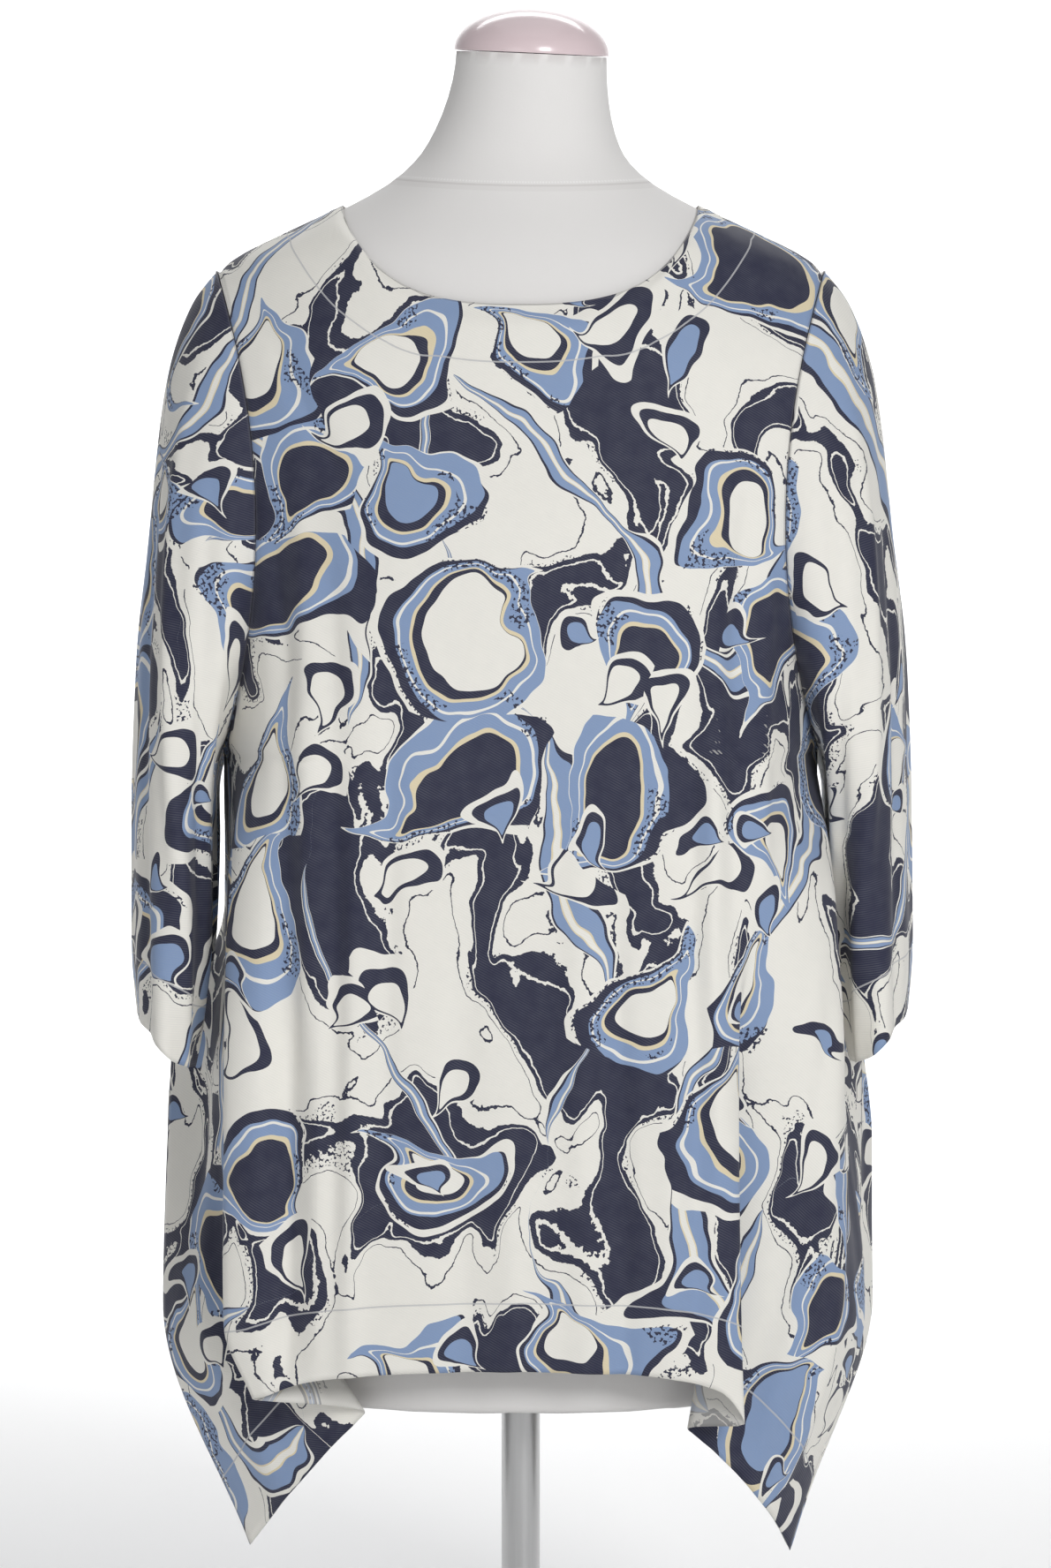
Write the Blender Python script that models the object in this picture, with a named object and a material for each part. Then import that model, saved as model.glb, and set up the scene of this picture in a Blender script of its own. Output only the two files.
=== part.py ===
"""A wide tunic blouse with pointed side corners, worn by a limbless dress form on a low stand.

Metres, +Z up. The front faces -Y and the picture's right is +X. The origin is the centre of the
base's underside. The form is lofted through level sections. Each blouse panel is a sheet whose
columns run from the neckline or the shoulder seam down to the hem: above the underarm it lies on
the form, and below it the folds in the tables spread it out to the side corners.
"""

import functools
import math

import bpy
import numpy as np

# Stand
BASE_RADIUS = 0.150
BASE_THICKNESS = 0.008
BASE_BEVEL = 0.002
POLE_RADIUS = 0.0125
ROUND_STEPS = 32
JOINT_GAP = 0.0003

# Dress form: level sections, from the flat underside to the top of the neck
FORM_COLUMNS = ("height", "half_width", "front", "back", "power")
FORM_SECTIONS = (
    (0.2000, 0.1330, 0.0850, 0.0830, 2.2),
    (0.2025, 0.1400, 0.0915, 0.0895, 2.2),
    (0.2090, 0.1425, 0.0940, 0.0920, 2.2),
    (0.2500, 0.1500, 0.0995, 0.1000, 2.2),
    (0.3100, 0.1600, 0.1050, 0.1100, 2.2),
    (0.3750, 0.1640, 0.1060, 0.1140, 2.2),
    (0.4500, 0.1560, 0.1040, 0.1030, 2.2),
    (0.5200, 0.1400, 0.0990, 0.0860, 2.2),
    (0.5750, 0.1320, 0.0980, 0.0760, 2.2),
    (0.6300, 0.1430, 0.1120, 0.0830, 2.2),
    (0.7150, 0.1640, 0.1330, 0.0960, 2.3),
    (0.7700, 0.1690, 0.1290, 0.1010, 2.3),
    (0.8200, 0.1740, 0.1180, 0.1050, 2.3),
    (0.8650, 0.1850, 0.1080, 0.1060, 2.1),
    (0.8950, 0.1950, 0.1000, 0.1030, 2.0),
    (0.9120, 0.1975, 0.0940, 0.0995, 1.9),
    (0.9250, 0.1952, 0.0895, 0.0970, 1.85),
    (0.9340, 0.1890, 0.0860, 0.0950, 1.8),
    (0.9415, 0.1785, 0.0830, 0.0935, 1.8),
    (0.9495, 0.1630, 0.0790, 0.0915, 1.8),
    (0.9580, 0.1450, 0.0745, 0.0890, 1.8),
    (0.9655, 0.1290, 0.0700, 0.0865, 1.8),
    (0.9730, 0.1134, 0.0655, 0.0830, 1.85),
    (0.9880, 0.0843, 0.0570, 0.0745, 2.0),
    (1.0030, 0.0686, 0.0510, 0.0650, 2.0),
    (1.0120, 0.0626, 0.0490, 0.0600, 2.0),
    (1.0310, 0.0545, 0.0470, 0.0550, 2.0),
    (1.0550, 0.0495, 0.0455, 0.0520, 2.0),
    (1.0720, 0.0487, 0.0452, 0.0510, 2.0),
)
FORM_RING_POINTS = 36
NECK_BASE = 0.985
NECK_TOP = 1.072
NECK_LEAN = 0.007
NECK_TILT = math.radians(2.6)
CAP_RADIUS = 0.0500
CAP_HEIGHT = 0.0300
CAP_RIM = 0.0045
CAP_CENTRE_Y = 0.003

# Blouse: cut and levels
CLOTH = 0.0015
SEAM_GAP = 0.0005
CONTACT = 0.0003
CLEARANCE = 0.003
# The cloth is at its full clearance this far below its top edge
CLEAR_BELOW = 0.015
NECK_HALF_WIDTH = 0.115
NECK_DROP_FRONT = 0.062
NECK_DROP_BACK = 0.018
NECK_ROUNDNESS = 2.7
# The neckline is a superellipse this much wider than the neck, cut off at the shoulder points
NECK_OVERSIZE = 0.0030
UNDERARM = 0.622
ELBOW_LEVEL = 0.520
MID_LEVEL = 0.420
LOW_LEVEL = 0.260
HANG_TOP = 0.945
HANG_FULL = 0.870
# The columns spread evenly along each level below these heights
SPREAD_TOP = 0.860
SPREAD_FULL = 0.680

# Armhole seam: the loop through its highest, foremost, lowest and rearmost points
ARMHOLE_TOP = (0.1960, 0.000, 0.9330)
ARMHOLE_FRONT = (0.1690, -0.090, 0.7750)
ARMHOLE_BOTTOM = (0.1930, 0.000, UNDERARM)
ARMHOLE_BACK = (0.1720, 0.090, 0.7750)
ARMHOLE_ROWS = 12
SIDE_ROWS = 8
# Rows crowd towards the shoulder, where the cloth turns over the form
ROW_CROWDING = 1.35
# Columns nearer to the centre than this at their top fan out from the neckline
FAN_END_X = 0.165

# Distance from the centre line of each fold column, on the shoulder seam and at the underarm. The
# columns short of NECK_END meet the neckline instead, at even distances along it
TOP_X = (0.000, 0.070, 0.115, 0.134, 0.150, 0.163, 0.174, 0.183, 0.190, 0.196)
UNDERARM_X = (0.000, 0.074, 0.130, 0.146, 0.160, 0.172, 0.182, 0.1885, 0.1912, 0.193)
NECK_END = 2
COLUMN_STEPS = (5, 6, 2, 2, 2, 3, 3, 3, 3)

# One row for each fold column, from the centre line to the side seam: its place at the elbow
# level, at the mid level, at the low level and at the hem
FOLD_COLUMNS = ("elbow_x", "elbow_y", "mid_x", "mid_y", "low_x", "low_y", "hem_x", "hem_y",
                "hem_z")
FRONT_LEFT = (
    (0.000, -0.143, 0.000, -0.143, 0.000, -0.143, 0.000, -0.142, 0.2350),
    (0.073, -0.142, 0.074, -0.141, 0.075, -0.140, 0.076, -0.139, 0.2330),
    (0.128, -0.134, 0.130, -0.133, 0.131, -0.131, 0.132, -0.129, 0.2270),
    (0.146, -0.124, 0.147, -0.117, 0.148, -0.118, 0.149, -0.122, 0.2220),
    (0.167, -0.116, 0.168, -0.122, 0.165, -0.123, 0.161, -0.121, 0.2170),
    (0.189, -0.088, 0.192, -0.104, 0.190, -0.108, 0.170, -0.113, 0.2130),
    (0.185, -0.058, 0.176, -0.080, 0.136, -0.092, 0.101, -0.088, 0.2020),
    (0.187, -0.020, 0.190, -0.030, 0.172, -0.070, 0.123, -0.074, 0.1760),
    (0.191, 0.012, 0.205, 0.034, 0.212, -0.030, 0.152, -0.050, 0.1400),
    (0.194, 0.036, 0.230, 0.060, 0.234, 0.012, 0.177, -0.010, 0.1036),
)
FRONT_RIGHT = (
    (0.000, -0.143, 0.000, -0.143, 0.000, -0.143, 0.000, -0.142, 0.2350),
    (0.074, -0.142, 0.076, -0.142, 0.078, -0.141, 0.079, -0.140, 0.2320),
    (0.126, -0.136, 0.126, -0.135, 0.129, -0.133, 0.130, -0.132, 0.2190),
    (0.141, -0.129, 0.139, -0.124, 0.141, -0.125, 0.143, -0.124, 0.1990),
    (0.152, -0.122, 0.131, -0.107, 0.119, -0.099, 0.108, -0.092, 0.1920),
    (0.171, -0.112, 0.158, -0.104, 0.146, -0.092, 0.124, -0.084, 0.1760),
    (0.190, -0.097, 0.189, -0.100, 0.174, -0.086, 0.140, -0.074, 0.1590),
    (0.203, -0.074, 0.208, -0.078, 0.201, -0.066, 0.153, -0.060, 0.1420),
    (0.191, -0.010, 0.199, -0.008, 0.219, -0.026, 0.166, -0.036, 0.1220),
    (0.194, 0.036, 0.225, 0.066, 0.220, 0.015, 0.176, -0.010, 0.1000),
)
BACK = (
    (0.000, 0.121, 0.000, 0.122, 0.000, 0.126, 0.000, 0.126, 0.2350),
    (0.052, 0.122, 0.052, 0.124, 0.054, 0.129, 0.055, 0.129, 0.2320),
    (0.094, 0.120, 0.092, 0.122, 0.098, 0.132, 0.099, 0.131, 0.2280),
    (0.118, 0.115, 0.115, 0.109, 0.121, 0.112, 0.121, 0.111, 0.2220),
    (0.140, 0.110, 0.142, 0.116, 0.150, 0.121, 0.147, 0.119, 0.2130),
    (0.160, 0.100, 0.168, 0.105, 0.178, 0.110, 0.168, 0.104, 0.2000),
    (0.175, 0.089, 0.187, 0.091, 0.192, 0.086, 0.174, 0.079, 0.1850),
    (0.186, 0.075, 0.207, 0.093, 0.214, 0.080, 0.185, 0.056, 0.1650),
    (0.192, 0.056, 0.224, 0.082, 0.231, 0.052, 0.186, 0.026, 0.1350),
    (0.194, 0.036, 0.230, 0.060, 0.234, 0.012, 0.177, -0.010, 0.1036),
)

# How the hanging cloth curves back from the centre to the armhole, by height
HANG_HEIGHTS = (UNDERARM, 0.700, 0.800, 0.930)
HANG_POWERS = (8.0, 4.2, 2.8, 3.5)

# Sleeve sections, from the armhole (share 0) to the cuff (share 1)
SLEEVE_COLUMNS = ("share", "outer_x", "outer_z", "inner_x", "inner_z", "side_x", "side_z",
                  "front_y", "back_y")
SLEEVE_SECTIONS = (
    (0.00, 0.1960, 0.9330, 0.1930, 0.6220, 0.1690, 0.7750, -0.090, 0.090),
    (0.10, 0.2120, 0.9110, 0.1955, 0.6130, 0.1850, 0.7450, -0.096, 0.094),
    (0.24, 0.2290, 0.8600, 0.1968, 0.5970, 0.2020, 0.7100, -0.098, 0.088),
    (0.40, 0.2395, 0.7700, 0.1972, 0.5720, 0.2130, 0.6600, -0.096, 0.074),
    (0.55, 0.2460, 0.6900, 0.1976, 0.5420, 0.2190, 0.6050, -0.094, 0.058),
    (0.75, 0.2490, 0.5800, 0.1995, 0.4970, 0.2230, 0.5300, -0.092, 0.042),
    (0.90, 0.2490, 0.5050, 0.2060, 0.4560, 0.2270, 0.4760, -0.090, 0.030),
    (1.00, 0.2470, 0.4530, 0.2120, 0.4200, 0.2290, 0.4330, -0.088, 0.024),
)
SLEEVE_ROWS = 11
RIGHT_CUFF_BACKWARD = 0.036
RIGHT_CUFF_OUTWARD = 0.004

COLOURS = {
    "blouse_front": (0.86, 0.84, 0.79),
    "blouse_back": (0.80, 0.78, 0.74),
    "sleeve_left": (0.20, 0.34, 0.58),
    "sleeve_right": (0.20, 0.34, 0.58),
    "dress_form": (0.74, 0.71, 0.69),
    "neck_cap": (0.77, 0.62, 0.64),
    "stand_pole": (0.60, 0.60, 0.60),
    "stand_base": (0.60, 0.60, 0.60),
}
ROUGHNESS = {"neck_cap": 0.15, "stand_pole": 0.3, "stand_base": 0.3}
METALS = ("stand_pole", "stand_base")


def clear_scene():
    for old in list(bpy.data.objects):
        bpy.data.objects.remove(old, do_unlink=True)


def material(name):
    made = bpy.data.materials.new(name)
    made.use_nodes = True
    shader = made.node_tree.nodes["Principled BSDF"]
    shader.inputs["Base Color"].default_value = (*COLOURS[name], 1.0)
    shader.inputs["Roughness"].default_value = ROUGHNESS.get(name, 0.85)
    shader.inputs["Metallic"].default_value = 1.0 if name in METALS else 0.0
    return made


def add_object(name, points, faces):
    mesh = bpy.data.meshes.new(name)
    mesh.from_pydata([tuple(map(float, p)) for p in points], [], faces)
    mesh.validate()
    mesh.shade_smooth()
    made = bpy.data.objects.new(name, mesh)
    made.data.materials.append(material(name))
    bpy.context.scene.collection.objects.link(made)
    return made


def smooth_through(knots, values, at):
    """A curve through the knots that never swings past them, read at the places in at."""
    knots = np.asarray(knots, float)
    values = np.asarray(values, float)
    at = np.clip(np.asarray(at, float), knots[0], knots[-1])
    step = np.diff(knots)
    secant = np.diff(values) / step
    slope = np.empty_like(values)
    slope[0], slope[-1] = secant[0], secant[-1]
    for i in range(1, len(knots) - 1):
        before, after = secant[i - 1], secant[i]
        if before * after <= 0:
            slope[i] = 0.0
        else:
            weight_a = 2 * step[i] + step[i - 1]
            weight_b = step[i] + 2 * step[i - 1]
            slope[i] = (weight_a + weight_b) / (weight_a / before + weight_b / after)
    i = np.clip(np.searchsorted(knots, at, side="right") - 1, 0, len(knots) - 2)
    t = (at - knots[i]) / step[i]
    return (
        values[i] * (1 + 2 * t) * (1 - t) ** 2
        + slope[i] * step[i] * t * (1 - t) ** 2
        + values[i + 1] * t**2 * (3 - 2 * t)
        - slope[i + 1] * step[i] * t**2 * (1 - t)
    )


def ease(value, low, high):
    t = np.clip((value - low) / (high - low), 0.0, 1.0)
    return t * t * (3 - 2 * t)


def table_column(table, names, name):
    return [row[names.index(name)] for row in table]


def form_value(name, height):
    heights = table_column(FORM_SECTIONS, FORM_COLUMNS, "height")
    return smooth_through(heights, table_column(FORM_SECTIONS, FORM_COLUMNS, name), height)


def form_depth(x, z, side, offset):
    """How far the form, grown by offset, reaches from the plane Y = 0 at this place."""
    height = z - offset
    half_width = form_value("half_width", height) + offset
    depth = form_value(side, height) + offset
    power = form_value("power", height)
    share = np.clip(np.abs(x) / half_width, 0.0, 1.0)
    return depth * (1 - share**power) ** (1 / power)


def shoulder_height(x, offset):
    """The height of the form's shoulder line, grown by offset, at this distance from the centre."""
    heights = np.linspace(0.915, 1.0, 200)
    widths = form_value("half_width", heights)
    return float(np.interp(abs(x) - offset, widths[::-1], heights[::-1])) + offset


def shoulder_offset():
    return CONTACT + CLOTH


def neck_curve(x):
    share = x / (NECK_HALF_WIDTH + NECK_OVERSIZE)
    return (1 - share**NECK_ROUNDNESS) ** (1 / NECK_ROUNDNESS)


def top_edge_height(x, side):
    """The neckline's height out to its end on the shoulder, then the shoulder seam's."""
    if x >= NECK_HALF_WIDTH:
        return shoulder_height(x, shoulder_offset())
    high = shoulder_height(NECK_HALF_WIDTH, shoulder_offset())
    drop = NECK_DROP_FRONT if side == "front" else NECK_DROP_BACK
    return high - drop * (neck_curve(x) - neck_curve(NECK_HALF_WIDTH)) / (1 - neck_curve(NECK_HALF_WIDTH))


def loop_point(top, front, bottom, back, angle):
    """A closed loop through four points: 0 is the top, 90 degrees the front, 180 the bottom."""
    top, front, bottom, back = (np.asarray(p, float) for p in (top, front, bottom, back))
    centre = (top + bottom) / 2
    bow = (front + back) / 2 - centre
    return (
        centre
        + (top - bottom) / 2 * math.cos(angle)
        + (front - back) / 2 * math.sin(angle)
        + bow * math.sin(angle) ** 2
    )


def armhole_height(z, z_top):
    """The armhole's height beside this one. A column that starts below its top starts level with it."""
    if z_top >= ARMHOLE_TOP[2]:
        return min(z, ARMHOLE_TOP[2])
    return UNDERARM + (z - UNDERARM) * (ARMHOLE_TOP[2] - UNDERARM) / (z_top - UNDERARM)


def armhole_point(height, side):
    """The armhole seam's point at this height, on its front or its back half."""
    middle = (ARMHOLE_TOP[2] + ARMHOLE_BOTTOM[2]) / 2
    reach = (ARMHOLE_TOP[2] - ARMHOLE_BOTTOM[2]) / 2
    angle = math.acos(min(1.0, max(-1.0, (height - middle) / reach)))
    if side == "back":
        angle = -angle
    return loop_point(ARMHOLE_TOP, ARMHOLE_FRONT, ARMHOLE_BOTTOM, ARMHOLE_BACK, angle)


def centre_depth(z, side):
    """The depth of the cloth on the centre line: it hangs from the most forward point above."""
    above = np.linspace(z, NECK_BASE, 60)
    return float(np.max(form_value(side, above))) + CLEARANCE


def hung_depth(x, z, z_top, side, seam):
    """The depth of cloth that lies on the form and, lower down, hangs clear of it."""
    below_edge = ease(z_top - z, 0.0, CLEAR_BELOW)
    offset = shoulder_offset() + (CLEARANCE - CONTACT) * below_edge
    lying = form_depth(x, z, side, offset)
    centre = centre_depth(z, side)
    power = float(smooth_through(HANG_HEIGHTS, HANG_POWERS, z))
    hanging = centre - (centre - abs(seam[1])) * np.minimum(1.0, x / seam[0]) ** power
    gain = hanging - lying
    falling = 1 - ease(z, HANG_FULL, HANG_TOP)
    return lying + falling * np.maximum(0.0, 0.5 * (gain + np.hypot(gain, 0.003)))


def chest_depth(x, z, z_top, side):
    """The depth of the cloth above the underarm, drawn to the armhole seam at its edge."""
    seam = armhole_point(armhole_height(z, z_top), side)
    depth = hung_depth(x, z, z_top, side, seam)
    if z < ARMHOLE_TOP[2]:
        missing = abs(seam[1]) - float(hung_depth(seam[0], z, z_top, side, seam))
        depth = depth + missing * np.minimum(1.0, x / seam[0]) ** 12
    return depth


@functools.lru_cache(maxsize=None)
def level_spread(z, side):
    """Places across the chest at this height, and the share of the level's length up to each."""
    seam = armhole_point(z, side)
    across = seam[0] * np.sin(np.linspace(0.0, math.pi / 2, 60))
    depths = chest_depth(across, z, ARMHOLE_TOP[2], side)
    steps = np.hypot(np.diff(across), np.diff(depths))
    return across, np.concatenate([[0.0], np.cumsum(steps)]) / np.sum(steps)


def chest_point(top_x, under_x, z, z_top, side):
    """A point of the cloth above the underarm, on the column with these ends."""
    down = (z_top - z) / (z_top - UNDERARM)
    straight = ARMHOLE_TOP[0] + (ARMHOLE_BOTTOM[0] - ARMHOLE_TOP[0]) * down
    near_neck = 1 - ease(top_x, NECK_HALF_WIDTH, FAN_END_X)
    moved = down + near_neck * (1 - (1 - math.sqrt(down)) ** 2 - down)
    share = top_x / ARMHOLE_TOP[0] * (1 - moved) + under_x / ARMHOLE_BOTTOM[0] * moved
    seam = armhole_point(armhole_height(z, z_top), side)
    x = share * straight + (seam[0] - straight) * share**6
    low = 1 - ease(z, SPREAD_FULL, SPREAD_TOP)
    if low > 0:
        across, shares = level_spread(UNDERARM, side)
        share = np.interp(under_x, across, shares)
        across, shares = level_spread(z, side)
        x += low * (np.interp(share, shares, across) - x)
    depth = float(chest_depth(x, z, z_top, side))
    return np.array([x, depth if side == "back" else -depth, z])


def resampled(points, steps, crowding=1.0):
    """Points along a line of points, at even distances, or crowded towards its start."""
    points = np.asarray(points)
    lengths = np.concatenate([[0.0], np.cumsum(np.linalg.norm(np.diff(points, axis=0), axis=1))])
    at = lengths[-1] * np.linspace(0.0, 1.0, steps + 1) ** crowding
    return np.stack([np.interp(at, lengths, points[:, k]) for k in range(3)], axis=1)


def neckline_x(side, share):
    """How far out the neckline is at this share of its length from the centre line."""
    across = NECK_HALF_WIDTH * np.sin(np.linspace(0.0, math.pi / 2, 120))
    heights = [top_edge_height(min(x, NECK_HALF_WIDTH - 1e-9), side) for x in across]
    depths = [float(form_depth(x, z, side, shoulder_offset())) for x, z in zip(across, heights)]
    line = np.stack([across, depths, heights], axis=1)
    lengths = np.concatenate([[0.0], np.cumsum(np.linalg.norm(np.diff(line, axis=0), axis=1))])
    return float(np.interp(share * lengths[-1], lengths, across))


def fold_values(table, station, side):
    rows = np.arange(len(TOP_X))
    folds = {
        name: float(smooth_through(rows, table_column(table, FOLD_COLUMNS, name), station))
        for name in FOLD_COLUMNS
    }
    folds["under_x"] = float(smooth_through(rows, UNDERARM_X, station))
    if station < NECK_END:
        folds["top_x"] = neckline_x(side, folds["under_x"] / UNDERARM_X[NECK_END])
    else:
        folds["top_x"] = float(smooth_through(rows, TOP_X, station))
    return folds


def column(table, station, side):
    """One column of a panel's right half, from its top edge to its hem."""
    last = len(TOP_X) - 1
    folds = fold_values(table, station, side)
    if station >= last:
        turns = np.linspace(0.0, math.pi, 80)
        if side == "back":
            turns = -turns
        loop = (ARMHOLE_TOP, ARMHOLE_FRONT, ARMHOLE_BOTTOM, ARMHOLE_BACK)
        upper = [loop_point(*loop, turn) for turn in turns]
        above = upper[-14]
    else:
        z_top = top_edge_height(folds["top_x"], side)
        drops = np.linspace(0.0, 1.0, 80) ** 1.6
        upper = [
            chest_point(folds["top_x"], folds["under_x"], z_top + (UNDERARM - z_top) * q, z_top, side)
            for q in drops
        ]
        above = chest_point(folds["top_x"], folds["under_x"], UNDERARM + 0.05, z_top, side)
    under = upper[-1]
    heights = [folds["hem_z"], LOW_LEVEL, MID_LEVEL, ELBOW_LEVEL, UNDERARM]
    across = [folds["hem_x"], folds["low_x"], folds["mid_x"], folds["elbow_x"], under[0]]
    along = [folds["hem_y"], folds["low_y"], folds["mid_y"], folds["elbow_y"], under[1]]
    if station < last:
        heights.append(above[2])
        across.append(above[0])
        along.append(above[1])
    levels = np.linspace(UNDERARM, folds["hem_z"], 60)
    lower = np.stack(
        [smooth_through(heights, across, levels), smooth_through(heights, along, levels), levels],
        axis=1,
    )
    chest = resampled(upper, ARMHOLE_ROWS, ROW_CROWDING)
    return np.concatenate([chest, resampled(lower, SIDE_ROWS)[1:]])


def stations():
    places = [0.0]
    for row, steps in enumerate(COLUMN_STEPS):
        places += [row + (k + 1) / steps for k in range(steps)]
    return places


def panel_grid(left, right, side):
    """The panel's outer face: rows from top to hem, columns from -X to +X."""
    grid = [column(left, s, side) * (-1, 1, 1) for s in reversed(stations()[1:])]
    grid += [column(right, s, side) for s in stations()]
    return np.stack(grid, axis=1)


def unit(vectors):
    return vectors / np.maximum(np.linalg.norm(vectors, axis=-1, keepdims=True), 1e-12)


def grid_normals(grid, outward, closed=False):
    """Normals of a grid: down its rows crossed with along its columns, times outward."""
    down = np.gradient(grid, axis=0)
    if closed:
        across = (np.roll(grid, -1, axis=1) - np.roll(grid, 1, axis=1)) / 2
    else:
        across = np.gradient(grid, axis=1)
    return unit(np.cross(down, across)) * outward


def chest_normals(grid, normals, side):
    """Normals with those near the neckline taken from the slope of the cloth's depth."""
    step = 0.0005
    for row in range(ARMHOLE_ROWS):
        for col in range(grid.shape[1]):
            weight = 1 - ease(abs(grid[0, col, 0]), NECK_HALF_WIDTH, FAN_END_X)
            z_top = grid[0, col, 2]
            z = min(grid[row, col, 2], z_top - 2 * step)
            x = max(abs(grid[row, col, 0]), step)
            farther, nearer = chest_depth(np.array([x + step, x - step]), z, z_top, side)
            higher = float(chest_depth(x, z + step, z_top, side))
            lower = float(chest_depth(x, z - step, z_top, side))
            across = (nearer - farther) * math.copysign(1.0, grid[row, col, 0])
            facing = 2 * step if side == "back" else -2 * step
            slope = unit(np.array([across, facing, lower - higher]))
            normals[row, col] = unit(normals[row, col] * (1 - weight) + slope * weight)
    return normals


def shared(first, second):
    return unit(first + second)


def inward(edge, neighbour, normals):
    """Directions from an edge into its sheet, along the sheet."""
    way = neighbour - edge
    way = way - normals * np.sum(way * normals, axis=-1, keepdims=True)
    return unit(way)


def wall_faces(outer, closed, flip):
    """Triangles of a wall between two grids, with a rim round its edges.

    Both grids split their cells along the same diagonal, and a rim's cell runs from its higher
    outer corner to its lower inner one, so that walls that share a seam never cross.
    """
    rows, columns = outer.shape[:2]
    count = rows * columns
    faces = []

    def cell(a, b, c, d):
        if np.linalg.norm(flat[a] - flat[c]) <= np.linalg.norm(flat[b] - flat[d]):
            split = ((a, b, c), (a, c, d))
        else:
            split = ((a, b, d), (b, c, d))
        for face in split:
            faces.append(face)
            faces.append(tuple(i + count for i in reversed(face)))

    def rim(a, b):
        rises = flat[b][2] - flat[a][2]
        if abs(rises) < 1e-5:
            rises = abs(flat[b][0]) - abs(flat[a][0])
        if rises < 0:
            faces.extend([(a, b, b + count), (a, b + count, a + count)])
        else:
            faces.extend([(a, b, a + count), (b, b + count, a + count)])

    flat = outer.reshape(-1, 3)
    for row in range(rows - 1):
        for col in range(columns if closed else columns - 1):
            after = (col + 1) % columns
            low = (row + 1) * columns
            cell(row * columns + col, low + col, low + after, row * columns + after)
    last = (rows - 1) * columns
    for col in range(columns if closed else columns - 1):
        after = (col + 1) % columns
        rim(col, after)
        rim(last + after, last + col)
    if not closed:
        for row in range(rows - 1):
            here, below = row * columns, (row + 1) * columns
            rim(below, here)
            rim(here + columns - 1, below + columns - 1)
    return [tuple(reversed(face)) for face in faces] if flip else faces


def add_wall(name, outer, normals, closed, flip):
    inner = outer - normals * CLOTH
    points = np.concatenate([outer.reshape(-1, 3), inner.reshape(-1, 3)])
    return add_object(name, points, wall_faces(outer, closed, flip))


def sleeve_reference(share, angle, drift_x, drift_y):
    """The sleeve's section at this share of its length, read at an angle round it."""
    shares = table_column(SLEEVE_SECTIONS, SLEEVE_COLUMNS, "share")
    read = {
        name: float(smooth_through(shares, table_column(SLEEVE_SECTIONS, SLEEVE_COLUMNS, name), share))
        for name in SLEEVE_COLUMNS
    }
    out = drift_x * share**2
    back = drift_y * ease(share, 0.0, 1.0)
    middle_y = (read["front_y"] + read["back_y"]) / 2 * ease(share, 0.0, 0.6) + back
    back_x = ARMHOLE_BACK[0] + (read["side_x"] - ARMHOLE_BACK[0]) * ease(share, 0.0, 0.3)
    return loop_point(
        (read["outer_x"] + out, middle_y, read["outer_z"]),
        (read["side_x"] + out, read["front_y"] + back, read["side_z"]),
        (read["inner_x"] + out, middle_y, read["inner_z"]),
        (back_x + out, read["back_y"] + back, read["side_z"]),
        angle,
    )


def sleeve_grid(front_edge, back_edge, sign):
    """Rows from the armhole to the cuff, columns once round: top, front, underarm, back."""
    edge = np.concatenate([front_edge, back_edge[-2:0:-1]]) * (sign, 1, 1)
    middle = (ARMHOLE_TOP[2] + ARMHOLE_BOTTOM[2]) / 2
    reach = (ARMHOLE_TOP[2] - ARMHOLE_BOTTOM[2]) / 2
    angles = [math.acos(min(1.0, max(-1.0, (p[2] - middle) / reach))) for p in edge]
    angles = [a if i <= ARMHOLE_ROWS else 2 * math.pi - a for i, a in enumerate(angles)]
    drift_x = RIGHT_CUFF_OUTWARD if sign > 0 else 0.0
    drift_y = RIGHT_CUFF_BACKWARD if sign > 0 else 0.0
    rows = []
    for step in range(SLEEVE_ROWS + 1):
        share = step / SLEEVE_ROWS
        even = [2 * math.pi * i / len(angles) for i in range(len(angles))]
        turn = [a + (b - a) * ease(share, 0.0, 0.7) for a, b in zip(angles, even)]
        rows.append([sleeve_reference(share, a, drift_x, drift_y) for a in turn])
    grid = np.array(rows)
    grid[0] = edge
    return grid * (sign, 1, 1)


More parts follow.
